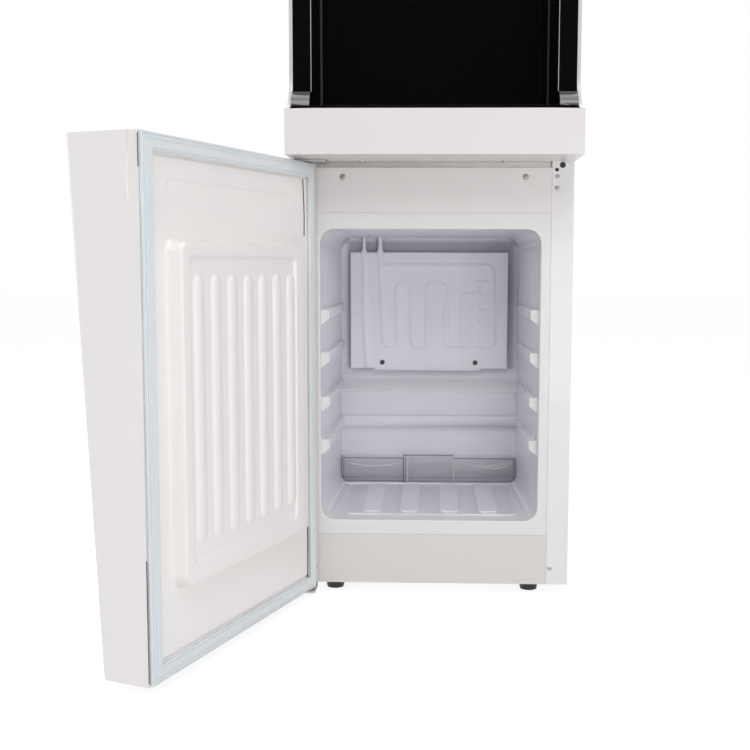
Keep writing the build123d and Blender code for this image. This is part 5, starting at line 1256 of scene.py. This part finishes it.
@dataclass
class Cabinet:
    """Outer sheets, front strips, feet, hinges and screws."""

    shop: Workshop
    strip_heads: tuple[Pair, ...] = ((136.4, 473.4), (136.2, 460.8), (134.5, 30.7))
    fold_holes: tuple[Triple, ...] = ((135.7, 480.5, 2.15), (141.9, 485.6, 3.35))
    upper_head: Triple = (101.4, -128.5, 473.1)
    plate_heads: tuple[Pair, ...] = ((-66.9, 247.9), (55.5, 247.9))
    plate_y: float = FRONT + 198.0
    ledge_heads: Pair = (-79.5, 77.9)
    ledge_y: float = FRONT - 4.5
    ledge_low: float = 489.6
    seat_y: float = FRONT + 0.9
    # painted shadow: depth of the black plugs inside the fold holes
    hole_shadow_y: Pair = (FRONT + 0.95, FRONT + 2.0)
    rear_head_x: float = 147.5
    rear_head_z: tuple[float, ...] = (60.0, 420.0, 604.0, 960.0)
    flat_head: Triple = (3.0, 0.9, 0.6)
    pan_head: Triple = (3.2, 1.4, 0.8)

    def build(self) -> None:
        """Makes all of the cabinet's pieces."""
        self.shop.soften({"side_panel_left": 0.35, "side_panel_right": 0.35, "upper_front_panel": 0.6,
                          "lower_front_panel": 0.6, "hinge_top": 0.4, "hinge_bottom": 0.4, "feet": 0.8})
        self.shop.carry_over("base_tray", "foot_screws", "deck")
        self.heads()

    def heads(self) -> None:
        """Heads of the screws in the folds, the strips, the cooling plate, the back and the ledge."""
        ahead, behind, down = (0.0, -1.0, 0.0), (0.0, 1.0, 0.0), (0.0, 0.0, -1.0)
        folds = [((side * x, self.seat_y, z), ahead) for x, z in self.strip_heads for side in (-1, 1)]
        # painted shadow: a black plug inside each fold hole
        for i, (x, z, radius) in enumerate(self.fold_holes):
            hole_shadow = [(x, y, z) for y in self.hole_shadow_y]
            self.shop.tubes(f"fold_well_{i}", "side_panel_right", "black_matte", hole_shadow, radius, 0.1, 24)
        self.shop.screws("fold_screw_heads", "fold_screws", "bright_zinc", folds, self.flat_head, 3)
        x, y, z = self.upper_head
        pans = [((side * x, y, z), ahead) for side in (-1, 1)]
        pans += [((x, self.ledge_y, self.ledge_low), down) for x in self.ledge_heads]
        pans += [((side * self.rear_head_x, BACK, z), behind) for side in (-1, 1) for z in self.rear_head_z]
        self.shop.screws("pan_screw_heads", "pan_screws", "bright_zinc", pans, self.pan_head, 5)
        plates = [((x, self.plate_y, z), ahead) for x, z in self.plate_heads]
        self.shop.screws("plate_screw_heads", "pan_screws", "dark_steel", plates, self.pan_head, 9)


@dataclass
class Head:
    """Dispensing head, niche, ledge and what stands on them."""

    shop: Workshop
    pillar: Triple = (131.6, -164.0, 560.0)
    corner: Triple = (130.9, -62.4, 546.0)
    niche_top: float = 858.0
    edge_radius: float = 0.45

    def build(self) -> None:
        """Makes all of the head's pieces."""
        self.shop.soften({"drip_housing": 1.0, "niche_panel": 1.0, "side_frames": 0.9, "fascia": 1.2,
                          "control_panel": 0.5, "drip_tray": 0.6, "top_cover": 0.8, "taps": 0.5})
        # painted highlights: thin grey gloss lines along the pillars' inner edges and the niche's back corners stand
        # in for reflections on those rounded edges
        for side, name in ((-1, "left"), (1, "right")):
            for part, finish, (x, y, low) in (("pillar", "highlight_line", self.pillar), ("corner", "faint_highlight_line", self.corner)):
                line = [(side * x, y, self.niche_top), (side * x, y, low)]
                self.shop.tubes(f"niche_{part}_{name}", "niche_panel", finish, line, self.edge_radius, 1.0, 8)
        self.shop.carry_over("drip_grille", "indicator_lenses", "hot_button", "ambient_button", "cold_button",
                             "hot_lock", "tap_valves")


@dataclass
class Works:
    """Tanks, pipes and machinery inside and on the back."""

    shop: Workshop
    coil_y: float = BACK + 13.0
    coil_half: float = HALF_WIDTH - 43.0
    coil_top: float = 536.0
    coil_pitch: float = 44.0
    coil_runs: int = 10
    coil_r: float = 2.4
    inlet_x: float = 128.0
    inlet_rise: float = 20.0
    outlet_x: float = -134.0
    outlet_drop: float = 66.0
    tail_y: float = 121.0
    wire_r: float = 0.8
    wire_pitch: float = 13.0
    wire_count: int = 16
    wire_past: float = 8.0
    weld: float = 0.4

    def build(self) -> None:
        """Makes the condenser and dresses what hasn't been dressed yet."""
        self.condenser()
        for node, shown in self.shop.frame["nodes"].items():
            if not shown.hide_render and shown.data.materials[0] not in self.shop.made.values():
                self.shop.carry_over(node)

    def condenser(self) -> None:
        """Condenser on the back: one long bent tube with a row of wires welded across it."""
        low = self.coil_top - (self.coil_runs - 1) * self.coil_pitch
        inlet, outlet = self.coil_top + self.inlet_rise, self.coil_top - self.outlet_drop
        points = [(self.inlet_x, self.tail_y, inlet), (self.inlet_x, self.coil_y, inlet),
                  (self.inlet_x, self.coil_y, self.coil_top)]
        for i in range(self.coil_runs):
            z = self.coil_top - i * self.coil_pitch
            end = self.coil_half if i % 2 == 0 else -self.coil_half
            points += [(end, self.coil_y, z)] if i else []
            points += [(-end, self.coil_y, z)] if i < self.coil_runs - 1 else []
        points += [(self.outlet_x, self.coil_y, low), (self.outlet_x, self.coil_y, outlet),
                   (self.outlet_x, self.tail_y, outlet)]
        self.shop.tubes("condenser_tube", "condenser", "dark_enamel", points, self.coil_r, 6.0, 16)
        middle = (0.0, self.coil_y + self.coil_r + self.wire_r - self.weld)
        points = [p for z in (low - self.wire_past, self.coil_top + self.wire_past)
                  for p in ring(self.wire_r, z, 8, middle)]
        pitch = self.wire_pitch * MM
        wires = self.shop.row.grow("condenser_wires", fresh_mesh("wire", points, [], sleeve(2, 8)),
                                   Count=self.wire_count, Start=((1 - self.wire_count) * pitch / 2, 0.0, 0.0),
                                   Step=(pitch, 0.0, 0.0), Material=self.shop.finish("dark_enamel"))
        self.shop.add("condenser_wires", wires, "condenser", "dark_enamel", 60.0)


@dataclass
class Studio:
    """Floor, backdrop, lamps and camera."""

    eye: Triple = (0.14, -1280.46, 374.95)
    yaw: float = 1.58
    pitch: float = 5.50
    roll: float = 0.16
    focal: float = 1026.35
    axis: Pair = (404.79, 364.50)
    image: float = 750.0
    sensor: float = 36.0
    floor_size: float = 12.0
    floor_pale: tuple[Colour, Colour] = ((0.90, 0.90, 0.90), (0.92, 0.92, 0.92))
    floor_glow: float = 0.82
    floor_lit: Colour = (0.32, 0.32, 0.32)
    sky: tuple[float, ...] = (0.98, 0.98, 1.0, 1.0)
    sky_level: float = 0.54
    shine_y: tuple[Pair, Pair] = ((-0.7, -0.1), (0.01, 0.8))
    shine_z: tuple[Pair, Pair] = ((0.3, 0.7), (0.0, 3.4))
    aim: Triple = (0.0, 0.0, 0.4)
    lamps: tuple[tuple[str, Triple, float, float], ...] = (
        ("over", (0.0, -1.8, 1.9), 1.2, 12.8), ("left", (-2.4, 0.0, 1.0), 1.6, 14.0),
        ("right", (1.9, -1.6, 0.6), 1.4, 7.5), ("low", (0.6, -1.8, 0.15), 0.6, 4.4))

    def build(self) -> None:
        """Sets up the whole studio."""
        self.camera()
        self.floor()
        self.world()
        for lamp in self.lamps:
            self.light(*lamp)
        bpy.context.scene.view_settings.view_transform = "Standard"

    def camera(self) -> None:
        """Camera with the photograph's place, tilt and framing."""
        made = bpy.data.cameras.new("camera")
        made.sensor_width = self.sensor
        made.lens = self.focal / self.image * self.sensor
        made.shift_x = -(self.axis[0] - self.image / 2) / self.image
        made.shift_y = -(self.image / 2 - self.axis[1]) / self.image
        made.clip_start, made.clip_end = 0.01, 50.0
        turns = ((self.yaw, "Z"), (90.0 - self.pitch, "X"), (self.roll, "Z"))
        yaw, tilt, roll = (Matrix.Rotation(math.radians(angle), 4, axis) for angle, axis in turns)
        seen = linked("camera", made)
        seen.matrix_world = Matrix.Translation(Vector(self.eye) * MM) @ yaw @ tilt @ roll
        bpy.context.scene.camera = seen

    def floor(self) -> None:
        """Large pale floor, white in the lamps' light, that keeps the object's shadow."""
        mesh = bpy.data.meshes.new("floor")
        with editing(mesh) as shape:
            bmesh.ops.create_grid(shape, x_segments=2, y_segments=2, size=self.floor_size)
        paint = Paint("floor_paper")
        cloud = paint.noise(3.0, 2.0)
        plain = paint.node("ShaderNodeBsdfDiffuse", {}, {"Color": paint.blend(cloud, *self.floor_pale)})
        lit = paint.node("ShaderNodeBsdfDiffuse", {}, {"Color": self.floor_lit})
        glow = paint.node("ShaderNodeEmission", {}, {"Color": WHITE, "Strength": self.floor_glow})
        shown = paint.node("ShaderNodeAddShader", {}, {0: lit, 1: glow})
        camera, glossy, through = (paint.node("ShaderNodeLightPath", {}, {}, f"Is {ray} Ray")
                                   for ray in ("Camera", "Glossy", "Transmission"))
        seen = (camera + glossy + through).clipped()
        mixed = paint.node("ShaderNodeMixShader", {}, {0: seen, 1: plain, 2: shown})
        feed(paint.tree, paint.output.inputs["Surface"], mixed)
        mesh.materials.append(paint.material)
        linked("floor", mesh)

    def world(self) -> None:
        """Even pale surroundings: white to the camera, and dark ahead of the object for its glossy faces."""
        world = bpy.data.worlds.new("studio")
        bpy.context.scene.world = world
        world.use_nodes = True
        tree = world.node_tree
        tree.nodes.clear()

        def node(kind: str, inputs: dict[Any, Any], **settings: Any) -> Any:
            """Outputs of one new node."""
            return add_node(tree, kind, settings, inputs).outputs

        def ramp(value: Any, limits: tuple[Pair, Pair]) -> Any:
            """Value brought from one span to another."""
            names = ("From Min", "From Max", "To Min", "To Max")
            return node("ShaderNodeMapRange", {"Value": value, **dict(zip(names, (*limits[0], *limits[1])))})[0]

        rays = node("ShaderNodeLightPath", {})
        split = node("ShaderNodeSeparateXYZ", {"Vector": node("ShaderNodeTexCoord", {})["Generated"]})
        shine = node("ShaderNodeMath", {0: ramp(split["Y"], self.shine_y), 1: ramp(split["Z"], self.shine_z)},
                     operation="ADD")[0]
        soft, glossy, white = (node("ShaderNodeBackground", {"Color": colour, "Strength": level})[0]
                               for colour, level in ((self.sky, self.sky_level), (WHITE, shine), (WHITE, 1.0)))
        unseen = node("ShaderNodeMixShader", {0: rays["Is Glossy Ray"], 1: soft, 2: glossy})[0]
        straight = node("ShaderNodeMath", {0: rays["Is Camera Ray"], 1: rays["Is Transmission Ray"]},
                        operation="MAXIMUM")[0]
        mixed = node("ShaderNodeMixShader", {0: straight, 1: unseen, 2: white})[0]
        node("ShaderNodeOutputWorld", {"Surface": mixed})

    def light(self, name: str, place: Triple, size: float, power: float) -> None:
        """One square soft lamp that looks at the object.

        Args:
            name: The lamp's name.
            place: Where it hangs, in metres.
            size: Its width, in metres.
            power: Its power, in watts.
        """
        made = bpy.data.lights.new(name, "AREA")
        made.shape = "SQUARE"
        made.size = size
        made.energy = power
        lamp = linked(name, made)
        lamp.location = place
        lamp.rotation_euler = (Vector(self.aim) - Vector(place)).to_track_quat("-Z", "Y").to_euler()


def corners(bounds: tuple[Vector, Vector]) -> list[list[float]]:
    """Two corners as plain lists."""
    return [list(map(float, corner)) for corner in bounds]


def main() -> None:
    """Builds the dressed cooler and its studio."""
    logging.basicConfig(level=logging.INFO, format="%(name)s %(message)s")
    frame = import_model()
    shop = Workshop(frame)
    for assembly in (Cabinet(shop), Fridge(shop), Door(shop), Head(shop), Works(shop)):
        assembly.build()
        LOG.info("%s done", type(assembly).__name__)
    Studio().build()
    bpy.context.view_layer.update()


if __name__ == "__main__":
    main()
